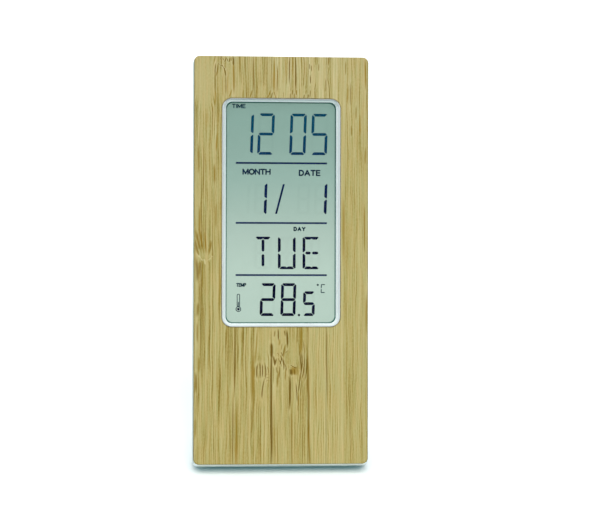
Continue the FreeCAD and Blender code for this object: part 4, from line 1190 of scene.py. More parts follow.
@dataclass(frozen=True)
class Bamboo(Finish):
    """Pressed bamboo: glued strips of long fibres, with the marks of the stalk's joints.

    Attributes:
        patches: calm pale patches.
        marks: marks in the grain.
        strip: width of a glued strip.
        strip_start: x of one glue line.
        broad: the widest fibres.
        long: the long ones.
        short: the short ones.
        blush: the fibres that are redder or greener than the rest.
        pith: number of fine specks to a millimetre across, through and along.
        grown: the fibres' colours from dark to pale.
        grown_at: the tone at which each of them stands.
        golden: colour of the golden marks.
        brown: colour of the darkest marks and of the glue.
        pale: colour of the pale marks and patches.
        burnished: colour laid on the rounded edges to darken them, and as painted shade along the sides' rim.
        rim: how plainly a dark mark's pale rim shows.
        tone: the wood's middle tone.
        to_right: how much paler it grows with each millimetre to the right.
        calm_right: x at which the fibres start to be calmer, and where they are calmest.
        tints: share of red, green and blue at the face's foot, at its middle and at its head.
        tints_at: heights of those three, in millimetres.
        warm: the same shares where the fibres are reddest.
        cool: the same where they are greenest.
        shine: share of the usual mirror-like light.
        depth: how deep the grain is.
    """

    patches: tuple[BarePatch, ...] = ()
    marks: tuple[FibreMark, ...] = ()
    strip: float = 6.3
    strip_start: float = -3.35
    broad: Fibres = Fibres(0.42, 0.012, 1.0, 0.6)
    long: Fibres = Fibres(2.9, 0.010, 2.0, 1.6)
    short: Fibres = Fibres(3.1, 0.06, 2.0, 1.35)
    blush: Fibres = Fibres(0.9, 0.12, 3.0)
    pith: tuple[float, float, float] = (3.2, 3.2, 1.1)
    grown: tuple[Colour, ...] = (
        srgb(124, 104, 36),
        srgb(156, 142, 74),
        srgb(176, 165, 104),
        srgb(184, 174, 117),
        srgb(191, 182, 128),
        srgb(199, 191, 140),
    )
    grown_at: tuple[float, ...] = (0.02, 0.24, 0.42, 0.55, 0.72, 1.0)
    golden: Colour = srgb(157, 131, 42)
    brown: Colour = srgb(102, 78, 2)
    pale: Colour = srgb(206, 197, 148)
    burnished: Colour = srgb(128, 118, 76)
    rim: float = 4.0
    tone: float = 0.51
    to_right: float = 0.0012
    calm_right: tuple[float, float] = (17.0, 22.0)
    tints: tuple[Colour, ...] = ((1.025, 0.972, 0.905), (0.98, 0.938, 0.868), (1.045, 1.01, 1.068))
    tints_at: tuple[float, ...] = (0.0, 84.0, 133.0)
    warm: Colour = (1.035, 0.985, 0.96)
    cool: Colour = (0.965, 1.01, 1.02)
    shine: float = 0.15
    depth: float = 0.015

    def _bare(self, coat: Coat, drawn: dict[str, Signal]) -> tuple[Value, Value]:
        """Adds up the patches.

        Args:
            coat: the material so far.
            drawn: where a point is, Across and Along.

        Returns:
            How far they part the fibres, and from 0 to 1 where they lie.
        """
        part, zone = 0.0, 0.0
        for patch in self.patches:
            place = {"X": patch.x, "Z": patch.z, "Strength": patch.strength}
            size = {"Half_Width": patch.half_width, "Half_Height": patch.half_height}
            made = coat.nodes.group(coat.groups.bare_patch, **drawn, **place, **size)
            part, zone = made["Part"] + part, made["Zone"] + zone
        return part, coat.nodes.math("MINIMUM", zone, 1.0)

    def _marked(self, coat: Coat, drawn: dict[str, Signal]) -> dict[str, Signal]:
        """Adds up the marks of each tone, and the pale rims beside the dark ones.

        Args:
            coat: the material so far.
            drawn: where a point is, Across and Along.

        Returns:
            How plainly rims, pale, golden and brown marks show.
        """
        totals: dict[str, Value] = {"pale": 0.0, "golden": 0.0, "brown": 0.0}
        for mark in self.marks:
            place = {"X": mark.x, "Z": mark.z, "Lean": mark.lean, "Bow": mark.bow}
            size = {"Half_Width": mark.half_width, "Half_Length": mark.half_length}
            shape = coat.nodes.group(coat.groups.fibre_mark, **drawn, **place, **size)["Mark"]
            for name, share in mark.shares.items():
                if share > 0:
                    totals[name] = shape.scaled(share, plus=totals[name])
        rims = coat.nodes.math("MINIMUM", totals["brown"], 0.0) * -self.rim
        shown = {name: coat.nodes.math("ADD", total, 0.0, clamp=True) for name, total in totals.items()}
        return {"rims": rims, **shown}

    def _glue(self, coat: Coat, strips: Signal, z: Signal) -> tuple[Signal, Signal]:
        """Draws the glue lines, some plainer than others and each fading here and there.

        Args:
            coat: the material so far.
            strips: how many strips from the first glue line a point lies.
            z: its height.

        Returns:
            The lines, and how much of them is left where they fade.
        """
        nearest = coat.nodes.math("ROUND", strips)
        apart = abs(strips - nearest) * self.strip
        line = apart.ease(0.26, 0.06) * nearest.dice().ease(0.2, 1.0, 0.05, 0.4)
        lasting = coat.nodes.vector(nearest, 0.0, z * 0.025).noise(1.0, 1.0).ease(0.35, 0.6)
        return line, lasting.scaled(0.7, plus=0.3)

    def _edges(self, coat: Coat, wood: Signal) -> Signal:
        """Lays the cut ends' pores over the wood, darkens its rounded edges and paints shade along the rim of
        its sides.

        Args:
            coat: the material so far.
            wood: the wood's colour.

        Returns:
            The colour with all three.
        """
        nodes = coat.nodes
        x, y, _ = coat.position.parts()
        low, high = (corner.tolist() for corner in face_box("bamboo_panel"))
        cut_end = abs(coat.facing.parts()[2]).ease(0.75, 0.95)
        pores = nodes.signal("ShaderNodeTexVoronoi", {"Vector": nodes.vector(x, y, 0.0), "Scale": 1.9})
        end = nodes.mix(pores.ease(0.34, 0.2), self.grown[2], self.grown[0])
        # painted shade along the outermost half millimetre of the sides, near the front
        rim = (high[0] - abs(x)).ease(0.5, 0.1) * (y.ease(low[1] + 0.8, low[1] + 0.3) * 0.6)
        # darker rounded edges, from the edge-wear mask
        edge_darkening = coat.wear(0.5) * 0.8
        return nodes.blend(wood, [(cut_end, end), (edge_darkening, self.burnished), (rim, self.burnished)])

    def paint(self, coat: Coat) -> None:
        """Works out the wood's colour and relief.

        Each strip has its own fibres and tone. A point's tone adds broad, long and short fibres and
        fine specks, all but the specks weaker in the bare patches, and runs through a ramp with a
        long dark end. The marks are laid over it with a little of the fibres' own tone.

        Args:
            coat: the material so far.
        """
        nodes, position = coat.nodes, coat.position
        x, y, z = position.parts()
        wander = position.stretched(0.25, 0.25, 0.07).noise()
        jitter = position.stretched(1.6, 1.0, 0.3).noise()
        drawn = {"Across": wander.scaled(0.6, plus=x - 0.3), "Along": jitter.scaled(1.6, plus=z - 0.8)}
        part, zone = self._bare(coat, drawn)
        marks = self._marked(coat, drawn)

        strips = (x - self.strip_start) / self.strip
        own = nodes.math("FLOOR", strips).dice()
        across = wander.scaled(1.3, plus=x + part)
        place = nodes.vector(own.scaled(53.0, plus=across), y, z)
        short, long = self.short.draw(place), self.long.draw(place)
        tone = (self.broad.draw(place) - 0.5) * self.broad.weight
        for drawn_out, fibres in ((long, self.long), (short, self.short)):
            tone = (drawn_out - 0.5).scaled(fibres.weight, plus=tone)
        calm = zone.scaled(-0.75, plus=1.0) * x.ease(*self.calm_right, 1.0, 0.75)
        tone = (own - 0.5).scaled(0.14, plus=tone * calm)
        tone = (position.stretched(*self.pith).noise() - 0.5).scaled(0.35, plus=tone)
        tone = x.scaled(self.to_right, plus=zone.scaled(0.06, plus=tone + self.tone))

        line, left = self._glue(coat, strips, z)
        broken = short.ease(0.2, 0.7, 1.0, 0.85)
        tones = {"rims": self.pale, "pale": self.pale, "golden": self.golden, "brown": self.brown}
        layers = [(marks[name] * broken, colour) for name, colour in tones.items()]
        wood = nodes.blend(tone.ramp(self.grown_at, self.grown), [(line * left, self.brown), *layers])
        height = float(face_box("bamboo_panel")[1][2])
        warmth = (z / height).ramp(tuple(place / height for place in self.tints_at), self.tints)
        flush = nodes.mix(self.blush.draw(place).ease(0.3, 0.7), self.cool, self.warm)
        for shares in (warmth, flush):
            wood = nodes.mix(1.0, wood, shares, "MULTIPLY")

        dullness = short.ease(0.25, 0.75, 0.6, 0.45)
        colour = self._edges(coat, wood)
        coat.set(Base_Color=colour, Roughness=dullness, Specular_IOR_Level=self.shine)
        coat.bump(long + short - line * 1.5, self.depth)


@dataclass(frozen=True)
class DisplayFilm(Finish):
    """The grey-green ground of a reflective display, a little darker towards its top as painted shade.

    Attributes:
        run: colours up the film, darker near the top as painted shade.
        places: where they stand between low_z and high_z, from 0 to 1.
        low_z: height up to which the first colour holds.
        high_z: height of the top.
        tint: how much of each colour is left, so that other shapes can be a shade darker.
        returned: share of its colour given off evenly as a painted glow, standing in for light off the
            reflector behind the glass and filling in the ring's shade on the film.
        speck: size of the fine sparkle.
        sparkle: how strong it is.
        shine: share of the usual mirror-like light.
    """

    run: tuple[Colour, ...] = (
        srgb(182, 205, 192),
        srgb(173, 196, 184),
        srgb(162, 188, 176),
        srgb(148, 178, 167),
        srgb(139, 170, 159),
        srgb(135, 167, 156),
        srgb(136, 168, 157),
    )
    places: tuple[float, ...] = (0.0, 0.2, 0.36, 0.55, 0.73, 0.88, 1.0)
    low_z: float = 67.0
    high_z: float = 124.5
    tint: Colour = (1.0, 1.0, 1.0)
    returned: float = 0.82
    speck: float = 0.12
    sparkle: float = 0.08
    shine: float = 0.15

    def paint(self, coat: Coat) -> None:
        """Gives a soft run of colour up the film, darker at the top as painted shade, a very fine sparkle and
        a painted glow.

        Args:
            coat: the material so far.
        """
        # painted shade: the run of colour darkens the film towards its top
        height = (coat.position.parts()[2] - self.low_z) / (self.high_z - self.low_z)
        colours = tuple(tuple(a * b for a, b in zip(colour, self.tint, strict=True)) for colour in self.run)
        ground = height.ramp(self.places, colours)
        grain = coat.grain(self.speck)
        sparkle = grain["Height"].scaled(self.sparkle, plus=-self.sparkle / 2)
        # painted light: part of the colour is given off as a glow, which weakens the ring's shade on the film
        for socket, share in (("Base_Color", 1.0 - self.returned), ("Emission_Color", 1.0)):
            inputs = {"Color": ground, "Value": sparkle.scaled(share, plus=share)}
            coat.set(**{socket: coat.nodes.signal("ShaderNodeHueSaturation", inputs)})
        dullness = grain["Mottle"].ease(0.0, 1.0, 0.7, 0.8)
        coat.set(Emission_Strength=self.returned, Roughness=dullness, Specular_IOR_Level=self.shine)


@dataclass(frozen=True)
class SegmentInk(Finish):
    """The dark of a switched segment: near black low down and blue-green near the top.

    Attributes:
        low: colour of the lower read-outs.
        middle: colour of the middle ones.
        high: colour of the top ones.
        heights: where those three stand, in millimetres.
        cloud: colour of its faint clouds.
        cloud_size: their size.
        clouded: how plainly they show.
        shine: share of the usual mirror-like light.
    """

    low: Colour = srgb(0, 0, 30)
    middle: Colour = srgb(0, 28, 72)
    high: Colour = srgb(0, 64, 88)
    heights: tuple[float, float, float] = (75.0, 100.0, 116.25)
    cloud: Colour = srgb(40, 90, 150)
    cloud_size: float = 0.6
    clouded: float = 0.04
    shine: float = 0.05

    def paint(self, coat: Coat) -> None:
        """Gives three colours up the face, clouded a little.

        Args:
            coat: the material so far.
        """
        top = float(face_box("lcd_polariser")[1][2])
        places = tuple(height / top for height in self.heights)
        ink = (coat.position.parts()[2] / top).ramp(places, (self.low, self.middle, self.high))
        clouds = coat.grain(self.cloud_size)
        lighter = coat.nodes.mix(clouds["Mottle"] * self.clouded, ink, self.cloud)
        dullness = clouds["Height"].ease(0.3, 0.7, 0.6, 0.75)
        coat.set(Base_Color=lighter, Roughness=dullness, Specular_IOR_Level=self.shine)


@dataclass(frozen=True)
class ClearPane(Finish):
    """Clear acrylic with a dulled reflection, which lets all light but the eye's through untouched.

    Attributes:
        index: how strongly it bends and mirrors light.
        smear: size of the faint smears on it.
        dulled: how dull it is where they are plainest.
    """

    index: float = 1.12
    smear: float = 3.0
    dulled: float = 0.03

    def paint(self, coat: Coat) -> None:
        """Shows smooth glass to the eye and lets everything else pass.

        Args:
            coat: the material so far.
        """
        nodes = coat.nodes
        dullness = coat.grain(self.smear)["Mottle"].ease(0.3, 1.0, 0.0, self.dulled)
        coat.set(Roughness=dullness, IOR=self.index, Transmission_Weight=1.0, Base_Color=(1.0, 1.0, 1.0))
        seen = nodes.signals(nodes.node("ShaderNodeLightPath"))["Is Camera Ray"]
        open_air = nodes.signal("ShaderNodeBsdfTransparent", {})
        inputs = {0: seen, 1: open_air, 2: Signal(nodes, coat.shader.outputs[0])}
        nodes.feed(coat.output.inputs["Surface"], nodes.signal("ShaderNodeMixShader", inputs))


@dataclass(frozen=True)
class BoardLacquer(Finish):
    """Green lacquer over a circuit board's copper.

    Attributes:
        lacquer: colour over bare board.
        track: colour over copper.
        cells: number of tracks to a millimetre.
        depth: how thick the copper is.
    """

    lacquer: Colour = srgb(26, 84, 52)
    track: Colour = srgb(54, 124, 78)
    cells: float = 0.35
    depth: float = 0.03

    def paint(self, coat: Coat) -> None:
        """Draws square cells whose borders are the tracks.

        Args:
            coat: the material so far.
        """
        inputs = {"Vector": coat.position, "Scale": self.cells, "Randomness": 0.7}
        kind = {"distance": "CHEBYCHEV", "feature": "DISTANCE_TO_EDGE"}
        cells = coat.nodes.signals(coat.nodes.node("ShaderNodeTexVoronoi", inputs, **kind))
        tracks = cells["Distance"].ease(0.08, 0.04)
        colour = coat.nodes.mix(tracks, self.lacquer, self.track)
        coat.set(Base_Color=colour, Roughness=tracks.ease(0.0, 1.0, 0.35, 0.25))
        coat.bump(tracks, self.depth)


# ---- the clock's sub-assemblies


def face_box(node: str) -> tuple[np.ndarray, np.ndarray]:
    """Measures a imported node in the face's frame.

    Args:
        node: its name.

    Returns:
        Its lowest and its highest corner, in millimetres.
    """
    mesh = frame["nodes"][node].data
    points = np.empty(len(mesh.vertices) * 3)
    mesh.vertices.foreach_get("co", points)
    upright = FACE.locate(points.reshape(-1, 3))
    return upright.min(axis=0), upright.max(axis=0)


def face_middle(node: str) -> tuple[float, float]:
    """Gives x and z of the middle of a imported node's box in the face's frame."""
    low, high = face_box(node)
    return float((low[0] + high[0]) / 2), float((low[2] + high[2]) / 2)


def dress(piece: bpy.types.Object, material: bpy.types.Material) -> None:
    """Gives every material slot of a piece one finish.

    Args:
        piece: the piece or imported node.
        material: what its slots hold afterwards.
    """
    if not piece.material_slots:
        piece.data.materials.append(material)
    for slot in piece.material_slots:
        slot.material = material


@dataclass
class SubAssembly:
    """What every sub-assembly of the clock holds.

    Attributes:
        groups: the shared effects.
    """

    groups: Groups

    def dress_nodes(self, finishes: dict[str, Finish]) -> None:
        """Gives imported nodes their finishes, each of which is made once.

        Args:
            finishes: the finish of each node.
        """
        made = {finish: finish.make(self.groups) for finish in dict.fromkeys(finishes.values())}
        for node, finish in finishes.items():
            dress(frame["nodes"][node], made[finish])


# The marks in the grain, as the attributes of FibreMark in their order
GRAIN_MARKS = (
    (-3.3, 20.4, 0.39, 22.3, -0.03, 0, 1, 1), (-3.29, 39.2, 0.62, 2.4, -0.04, 0, 0.8, 0.9),
    (-15.79, 36.3, 0.31, 12.5, 0.14, -0.1, 0.8, 0.75), (-16.52, 11.5, 0.25, 13.3, 0.07, 0, 0.7, 0.7),
    (-15.23, 10.5, 0.49, 12.3, 0.09, -0.1, 0.25, 0.8), (-9.78, 29.3, 0.7, 9.2, 0.08, 0.27, 0.25, 0.85),
    (-9.72, 16, 0.33, 6.2, 0.19, 0, 0.4, 0.65), (-8.5, 40.6, 0.37, 6.8, 0.36, 0, 0.15, 0.75),
    (-2.39, 11.5, 0.21, 13.4, -0.05, 0, 0.3, 0.6), (-1.23, 6.7, 0.29, 8.6, -0.05, 0, 0.3, 0.6),
    (3.1, 25.1, 0.41, 5.8, 0.06, 0, 0.85, 0.9), (3.64, 9.7, 0.37, 11.7, -0.06, 0, 0.45, 0.6),
    (9.46, 23.8, 0.37, 15.4, -0.24, -0.17, 0.5, 0.8), (9.67, 6.6, 0.54, 8.6, -0.22, 0, 0.35, 0.85),
    (15.75, 35.4, 0.29, 13.4, -0.16, 0, 0.7, 0.6), (6.78, 43, 0.58, 5.8, 0.06, 0, 0.2, 0.75),
    (-8.31, 32.1, 0.25, 2.5, 0.13, 0.14, 0.85, 0.95), (-7.11, 32.3, 0.23, 2.5, -0.01, -0.14, 0.85, 0.95),
    (-6.33, 32.2, 0.23, 2.5, 0.03, -0.17, 0.85, 0.95), (-5.28, 31.9, 0.23, 2.6, -0.06, -0.21, 0.85, 0.95),
    (-7.68, 32.1, 0.21, 2.1, 0.05, 0, -0.8, 0.6), (-6.86, 32.1, 0.21, 2.1, 0.01, 0, -0.8, 0.6),
    (-5.98, 32.1, 0.21, 2.1, -0, 0, -0.8, 0.6), (-4.41, 32.2, 0.25, 1.2, -0.17, -0.17, 0.7, 0.6),
    (-6.35, 26, 0.29, 3.3, 0.47, 0.31, 0.85, 0.8), (-9.1, 31.9, 0.33, 1.9, 0.17, 0.14, 0.2, 0.6),
    (-0.95, 44.4, 0.29, 1.9, -0.02, 0, 0.9, 0.8), (2.15, 43, 0.35, 2.9, -0.16, -0.1, 1, 0.95),
    (1.34, 44.8, 0.25, 1.1, -0.24, -0.1, 0.8, 0.7), (-2.39, 35.7, 0.37, 1.5, -0.28, -0.1, 0.9, 0.9),
    (-1.91, 35.1, 0.33, 1.4, 0.27, 0.1, 0.8, 0.8), (0.94, 38.6, 0.41, 2.3, 0.41, 0.14, 0.45, 0.9),
    (0.57, 35.6, 0.29, 1.9, -0.66, -0.21, 0.8, 0.75), (-0.55, 41.8, 0.37, 1.2, 0.03, 0, 0.2, 0.6),
    (-1.14, 29.3, 0.37, 2.7, 0.23, 0.14, 0.35, 0.85), (1.54, 31.2, 0.29, 2.2, 0.2, 0.1, 0.4, 0.7),
    (-0.02, 35.5, 0.23, 1.2, 0.31, -0.1, 0.85, 0.85), (1.02, 34.3, 0.23, 2, -0.07, -0.14, 0.85, 0.85),
    (-0.26, 35, 0.21, 1.3, -0.55, -0.1, 0.8, 0.8), (-1.05, 37.9, 0.25, 0.4, -0.45, 0.1, 0.8, 0.75),
    (0.29, 37.8, 0.21, 0.7, -0.24, -0.07, 0.7, 0.75), (1.67, 33.4, 0.21, 1.4, -0.28, -0.1, 0.8, 0.75),
    (-1.42, 32.5, 0.21, 1.2, -0.17, 0, 0.6, 0.7), (-0.46, 31.7, 0.23, 2.1, 0.06, -0.1, 0.7, 0.75),
    (2, 38.7, 0.33, 0.3, 0.38, 0, 0.8, 0.7), (0.21, 40.4, 0.21, 1.2, 0.1, 0, 0.4, 0.65),
    (-2.24, 44.9, 0.29, 1.2, 0.13, 0, 0.7, 0.6), (-2.51, 30.7, 0.21, 3.1, -0.04, -0.07, 0.5, 0.65),
    (7.95, 39.9, 0.25, 2.7, -0.28, -0.14, 0.5, 0.7), (6.3, 39.2, 0.25, 2.1, -0.11, -0.1, 0.4, 0.7),
    (5.92, 21.7, 0.25, 3.1, 0.1, -0.1, 0.5, 0.65), (6.91, 26.5, 0.23, 3.1, 0.23, -0.14, 0.5, 0.7),
    (4.49, 32.1, 1.61, 1.6, -0.04, 0, 0.2, 0.8), (3.5, 31.6, 0.58, 1.1, -0.07, 0, 0.9, 0.8),
    (4.63, 31.7, 0.29, 1.1, -0.04, 0, 0.8, 0.6), (6.86, 33.9, 0.23, 4.6, -0.18, -0.31, 0.85, 0.95),
    (7.27, 34.6, 0.23, 3.6, 0.16, -0.45, 0.85, 0.95), (7.96, 33.4, 0.23, 4.3, 0.44, -0.45, 0.85, 0.95),
    (8.86, 33, 0.23, 4.1, 0.34, -0.27, 0.85, 0.95), (6.29, 27.7, 0.23, 3.3, 0.44, -0.14, 0.85, 0.95),
    (5.33, 24.6, 0.23, 3.3, -0.18, 0, 0.85, 0.95), (-22.79, 135.8, 0.23, 1.7, 0.06, 0, 0.7, 0.9),
    (-22.78, 131.2, 0.31, 4.3, 0.02, 0.03, 0.4, 1), (-22.8, 125.5, 0.33, 2.7, 0.03, 0, 0.15, 0.7),
    (-22.14, 135, 0.25, 2, 0.2, -0.03, 0.55, 0.9), (-21.4, 137, 0.37, 0.2, -0.79, 0, 0.85, 0.9),
    (-20.13, 136.2, 0.23, 0.8, -0.65, -0.1, 0.8, 0.9), (-19.39, 134.5, 0.21, 1.5, -0.4, -0.14, 0.8, 0.9),
    (-19.1, 130.5, 0.16, 3.6, -0.06, 0, 0.7, 0.8), (-20.28, 129.6, 0.19, 4.1, -0.04, 0, 0.1, 0.6),
    (-18.51, 130.7, 0.19, 3.8, 0.13, 0.1, 0.1, 0.6), (-16.62, 138.5, 0.37, 1.5, 0.01, 0, 0.8, 0.85),
    (-16.44, 133.1, 0.45, 6.2, -0.1, -0.03, 0.25, 1), (-9.6, 134.2, 0.29, 6.2, 0.02, 0, 0.5, 0.9),
    (-2.59, 133.4, 0.41, 6.7, 0.09, 0, 0.2, 0.9), (-1.48, 132.4, 0.25, 5, 0.08, -0.07, 0.45, 0.9),
    (-4.18, 133.9, 0.41, 6.2, 0.02, 0, -0.7, 0.6), (2.65, 135.4, 0.23, 4.8, 0.01, 0, 0.95, 0.9),
    (3.66, 136.8, 0.25, 3.4, 0.03, 0, 0.3, 0.7), (4.8, 134.2, 0.23, 6, -0.01, 0, 0.95, 1),
    (1.36, 136, 0.21, 3.4, -0.01, 0, 0.1, 0.6), (8.31, 135.8, 0.16, 3.8, -0.01, 0, 0.3, 0.6),
    (9.61, 136.5, 0.19, 1, -0.05, 0, 0.8, 0.8), (10.25, 136, 0.19, 1.2, -0.04, 0, 0.8, 0.8),
    (9.94, 132.2, 0.21, 1.5, -0.07, 0, 0.85, 0.9), (12.71, 136.3, 0.21, 1.2, 0.01, 0, 0.5, 0.7),
    (16.2, 138.6, 0.29, 1.4, -0.02, 0, 0.5, 0.8), (15.23, 130.5, 0.21, 2.2, 0.06, -0.07, 0.5, 0.7),
    (22.03, 136.3, 0.25, 2.4, 0.03, 0, 0.3, 0.75), (28.89, 134.3, 0.35, 5.5, -0.11, 0, 0.25, 1),
    (22.94, 127.3, 0.21, 3.4, 0.03, 0, 0.15, 0.75), (23.82, 127.2, 0.21, 4, 0.01, 0, 0.5, 0.85),
    (3.75, 127.8, 0.21, 0.9, 0.07, 0, 0.6, 0.8), (5.09, 127.7, 0.21, 0.9, 0.07, 0, 0.5, 0.8),
    (3.06, 126.4, 0.21, 0.9, 0.03, 0, 0.6, 0.8), (4.4, 126.4, 0.21, 0.9, 0.03, 0, 0.5, 0.8),
    (7.75, 126.3, 0.25, 0.8, 0.1, 0, 0.7, 0.85), (9.26, 126.4, 0.25, 0.8, 0.1, 0, 0.7, 0.85),
    (9.99, 127.4, 0.21, 1.3, 0.07, 0, 0.5, 0.8), (8.5, 128, 0.21, 0.9, 0.17, 0, 0.4, 0.7),
    (-4.3, 126.9, 0.29, 1.5, 0.68, -0.17, 0.3, 0.9), (-3.37, 126.6, 0.25, 1.1, 0.34, -0.07, 0.6, 0.85),
    (-2.2, 126.6, 0.25, 1.1, -0.35, -0.07, 0.4, 0.8), (-10.41, 126.9, 0.29, 1.4, 0.37, -0.14, 0.35, 0.85),
    (-13.26, 126.9, 0.21, 1.3, 0.07, 0, 0.2, 0.75), (-17.5, 127.1, 0.33, 1.5, 0.51, -0.17, 0.15, 0.8),
    (-11.99, 126.6, 0.16, 1.1, 0.1, 0, 0.4, 0.7), (0.65, 126.7, 0.16, 1.1, 0.03, 0, 0.4, 0.7),
    (11.44, 127, 0.16, 1.2, -0.07, 0, 0.3, 0.65), (-28.46, 104.6, 0.37, 5.1, 0.06, 0, 0.3, 0.75),
    (-22.19, 110.4, 0.45, 3.1, 0.13, 0, 0.2, 0.8), (-22.96, 99.5, 0.49, 3.4, -0.06, 0, 0.25, 0.8),
    (-26.71, 99.8, 0.21, 7.9, 0.01, 0, 0.6, 0.6), (-28.06, 83.4, 0.45, 5.1, 0.06, 0, 0.2, 0.7),
    (-22.4, 85.3, 0.37, 4.6, 0.06, 0, 0.2, 0.65), (-28.53, 76.3, 0.45, 3.6, -0.83, 0.21, 0.35, 0.85),
    (-27.43, 76.5, 0.41, 4.1, -0.79, 0.17, 0.25, 0.85), (-25.96, 75.8, 0.37, 3.8, -0.32, 0, 0.25, 0.8),
    (-24.25, 74.5, 0.45, 2.4, 0.37, -0.21, 0.35, 0.8), (-29.03, 74.1, 0.41, 2.7, -0.59, 0.14, 0.5, 0.8),
    (-27.95, 71, 0.35, 1.5, -1.42, 0.27, -1, 0.95), (-26.15, 69.5, 0.33, 1, -0.17, 0, -1, 0.95),
    (-24.41, 70.5, 0.37, 0.9, 1.09, -0.27, -0.9, 0.85), (-28.74, 66.6, 0.54, 4.1, -0.18, -0.14, 0.55, 0.85),
    (-28.02, 66.9, 0.33, 2.4, 0.06, 0, 0.4, 0.75), (-26.9, 65.9, 0.29, 4.8, -0.05, 0, 0.3, 0.6),
    (-21.12, 66.1, 0.33, 15.9, 0.03, 0, 0.2, 0.6), (-28.6, 52.9, 0.49, 2.4, 0.1, -0.1, 0.45, 0.75),
    (-28.69, 45.2, 0.41, 3.6, -0.11, 0, 0.35, 0.7), (-29.09, 28.3, 0.45, 3.4, 0.03, -0.1, 0.45, 0.8),
    (-28.05, 34.3, 0.37, 2.6, -0.04, 0, 0.2, 0.7), (-29.22, 12.6, 0.37, 3.4, 0.03, 0, 0.3, 0.6),
    (28.73, 81.5, 0.33, 7.6, -0.01, 0, 0.3, 0.7), (24.11, 114.6, 0.33, 1.7, -0, 0, 0.4, 0.7),
    (21.5, 80.8, 0.62, 11.4, -0.05, 0, 0.15, 0.6), (29.34, 51.4, 0.37, 7.1, 0.06, 0, 0.25, 0.7),
    (25.79, 120.8, 0.29, 2.4, 0.03, 0, 0.3, 0.7), (27.11, 116.7, 0.33, 3.8, -0.04, 0, 0.2, 0.6),
    (28.93, 105.8, 0.33, 2.9, 0.03, 0, 0.35, 0.7), (-4.64, 30.8, 0.66, 0.1, -0.17, 0, 0.7, 0.7),
    (-4.57, 29.7, 0.62, 0.1, -0.17, 0, 0.7, 0.7), (-4.64, 28.8, 0.74, 0.1, -0.17, 0, 0.6, 0.7),
    (4.42, 33.4, 0.33, 0.7, -1.21, 0, 1, 0.9), (-21.6, 138.7, 0.25, 0.1, -0.51, 0, 0.6, 0.7),
    (-20.99, 139.1, 0.21, 0.4, -0.31, 0, 0.75, 0.8), (-20.13, 139, 0.21, 0.4, -0.14, 0, 0.75, 0.8),
    (-19.41, 138.7, 0.23, 0.7, 0.24, 0, 0.8, 0.85), (-18.7, 138.7, 0.23, 0.6, -0.28, 0, 0.8, 0.85),
    (-17.91, 138.8, 0.29, 0.8, 0.17, 0, 0.7, 0.85), (-17.26, 139, 0.21, 0.6, 0.14, 0, 0.6, 0.8),
)


@dataclass
class BambooFace(SubAssembly):
    """The bamboo plate glued to the front, with the bare patches beside its stalk joints.

    Attributes:
        patches: the bare patches, as the attributes of BarePatch in their order.
    """

    patches: tuple[tuple[float, ...], ...] = (
        (-26.4, 131.5, 4.4, 11.0, 1.0),
        (-20.6, 130.6, 1.5, 5.0, 0.7),
        (-26.4, 71.6, 2.6, 3.0, 0.7),
        (-6.0, 42.0, 2.3, 7.0, 1.0),
        (-6.6, 25.0, 2.3, 5.5, 0.8),
        (-0.6, 43.0, 2.5, 5.0, 0.9),
        (4.6, 38.4, 1.8, 4.5, 0.8),
        (-14.6, 127.4, 1.3, 3.6, 0.9),
        (-6.8, 127.2, 1.7, 3.4, 0.9),
        (0.9, 127.4, 1.9, 3.8, 0.8),
        (7.4, 127.0, 1.4, 3.4, 0.8),
        (13.5, 133.5, 3.0, 5.0, 0.6),
    )

    def build(self) -> None:
        """Gives the plate its bamboo and the tape behind it a paper finish."""
        marks = tuple(FibreMark(*row) for row in GRAIN_MARKS)
        patches = tuple(BarePatch(*row) for row in self.patches)
        wood = Bamboo("bamboo", patches=patches, marks=marks)
        tape = Moulded("tape", colour=srgb(236, 234, 224), roughness=0.7, grain=0.6, depth=0.02)
        self.dress_nodes({"bamboo_panel": wood, "panel_tape": tape})
        LOG.info("bamboo face with %d bare patches and %d marks", len(self.patches), len(marks))


@dataclass
class DisplayWindow(SubAssembly):
    """The white ring, the clear pane and the layers of the display behind it.

    Attributes:
        gasket_tint: how much of the display's colour shows on the dark gasket round it.
        gasket_returned: share of the gasket's colour given off evenly as a painted glow.
    """

    gasket_tint: Colour = (0.11, 0.25, 0.24)
    gasket_returned: float = 0.6

    def build(self) -> None:
        """Gives each layer of the window its own finish."""
        finishes = {
            "display_ring": RingPlastic("ring", srgb(246, 253, 255), 0.32, 0.3, 0.004, 0.012, 0.1),
            "display_lens": ClearPane("window"),
            "lens_gasket": DisplayFilm("gasket", tint=self.gasket_tint, returned=self.gasket_returned),
            "lcd_polariser": DisplayFilm("film"),
            "lcd_glass_front": Moulded("glass_front", srgb(206, 222, 216), 0.1, 1.0, 0.001, 0.02, 0.0),
            "lcd_glass_rear": Moulded("glass_rear", srgb(200, 218, 212), 0.1, 1.0, 0.001, 0.02, 0.0),
            "lcd_reflector": Metal("reflector", srgb(214, 216, 212), 0.45, srgb(196, 198, 194)),
            "lcd_holder": Moulded("holder", srgb(228, 228, 222), 0.5, 0.3, 0.01),
            "zebra_connectors": Moulded("connector_rubber", srgb(214, 150, 152), 0.7, 0.15, 0.02),
        }
        self.dress_nodes(finishes)
        LOG.info("display window in %d layers", len(finishes))


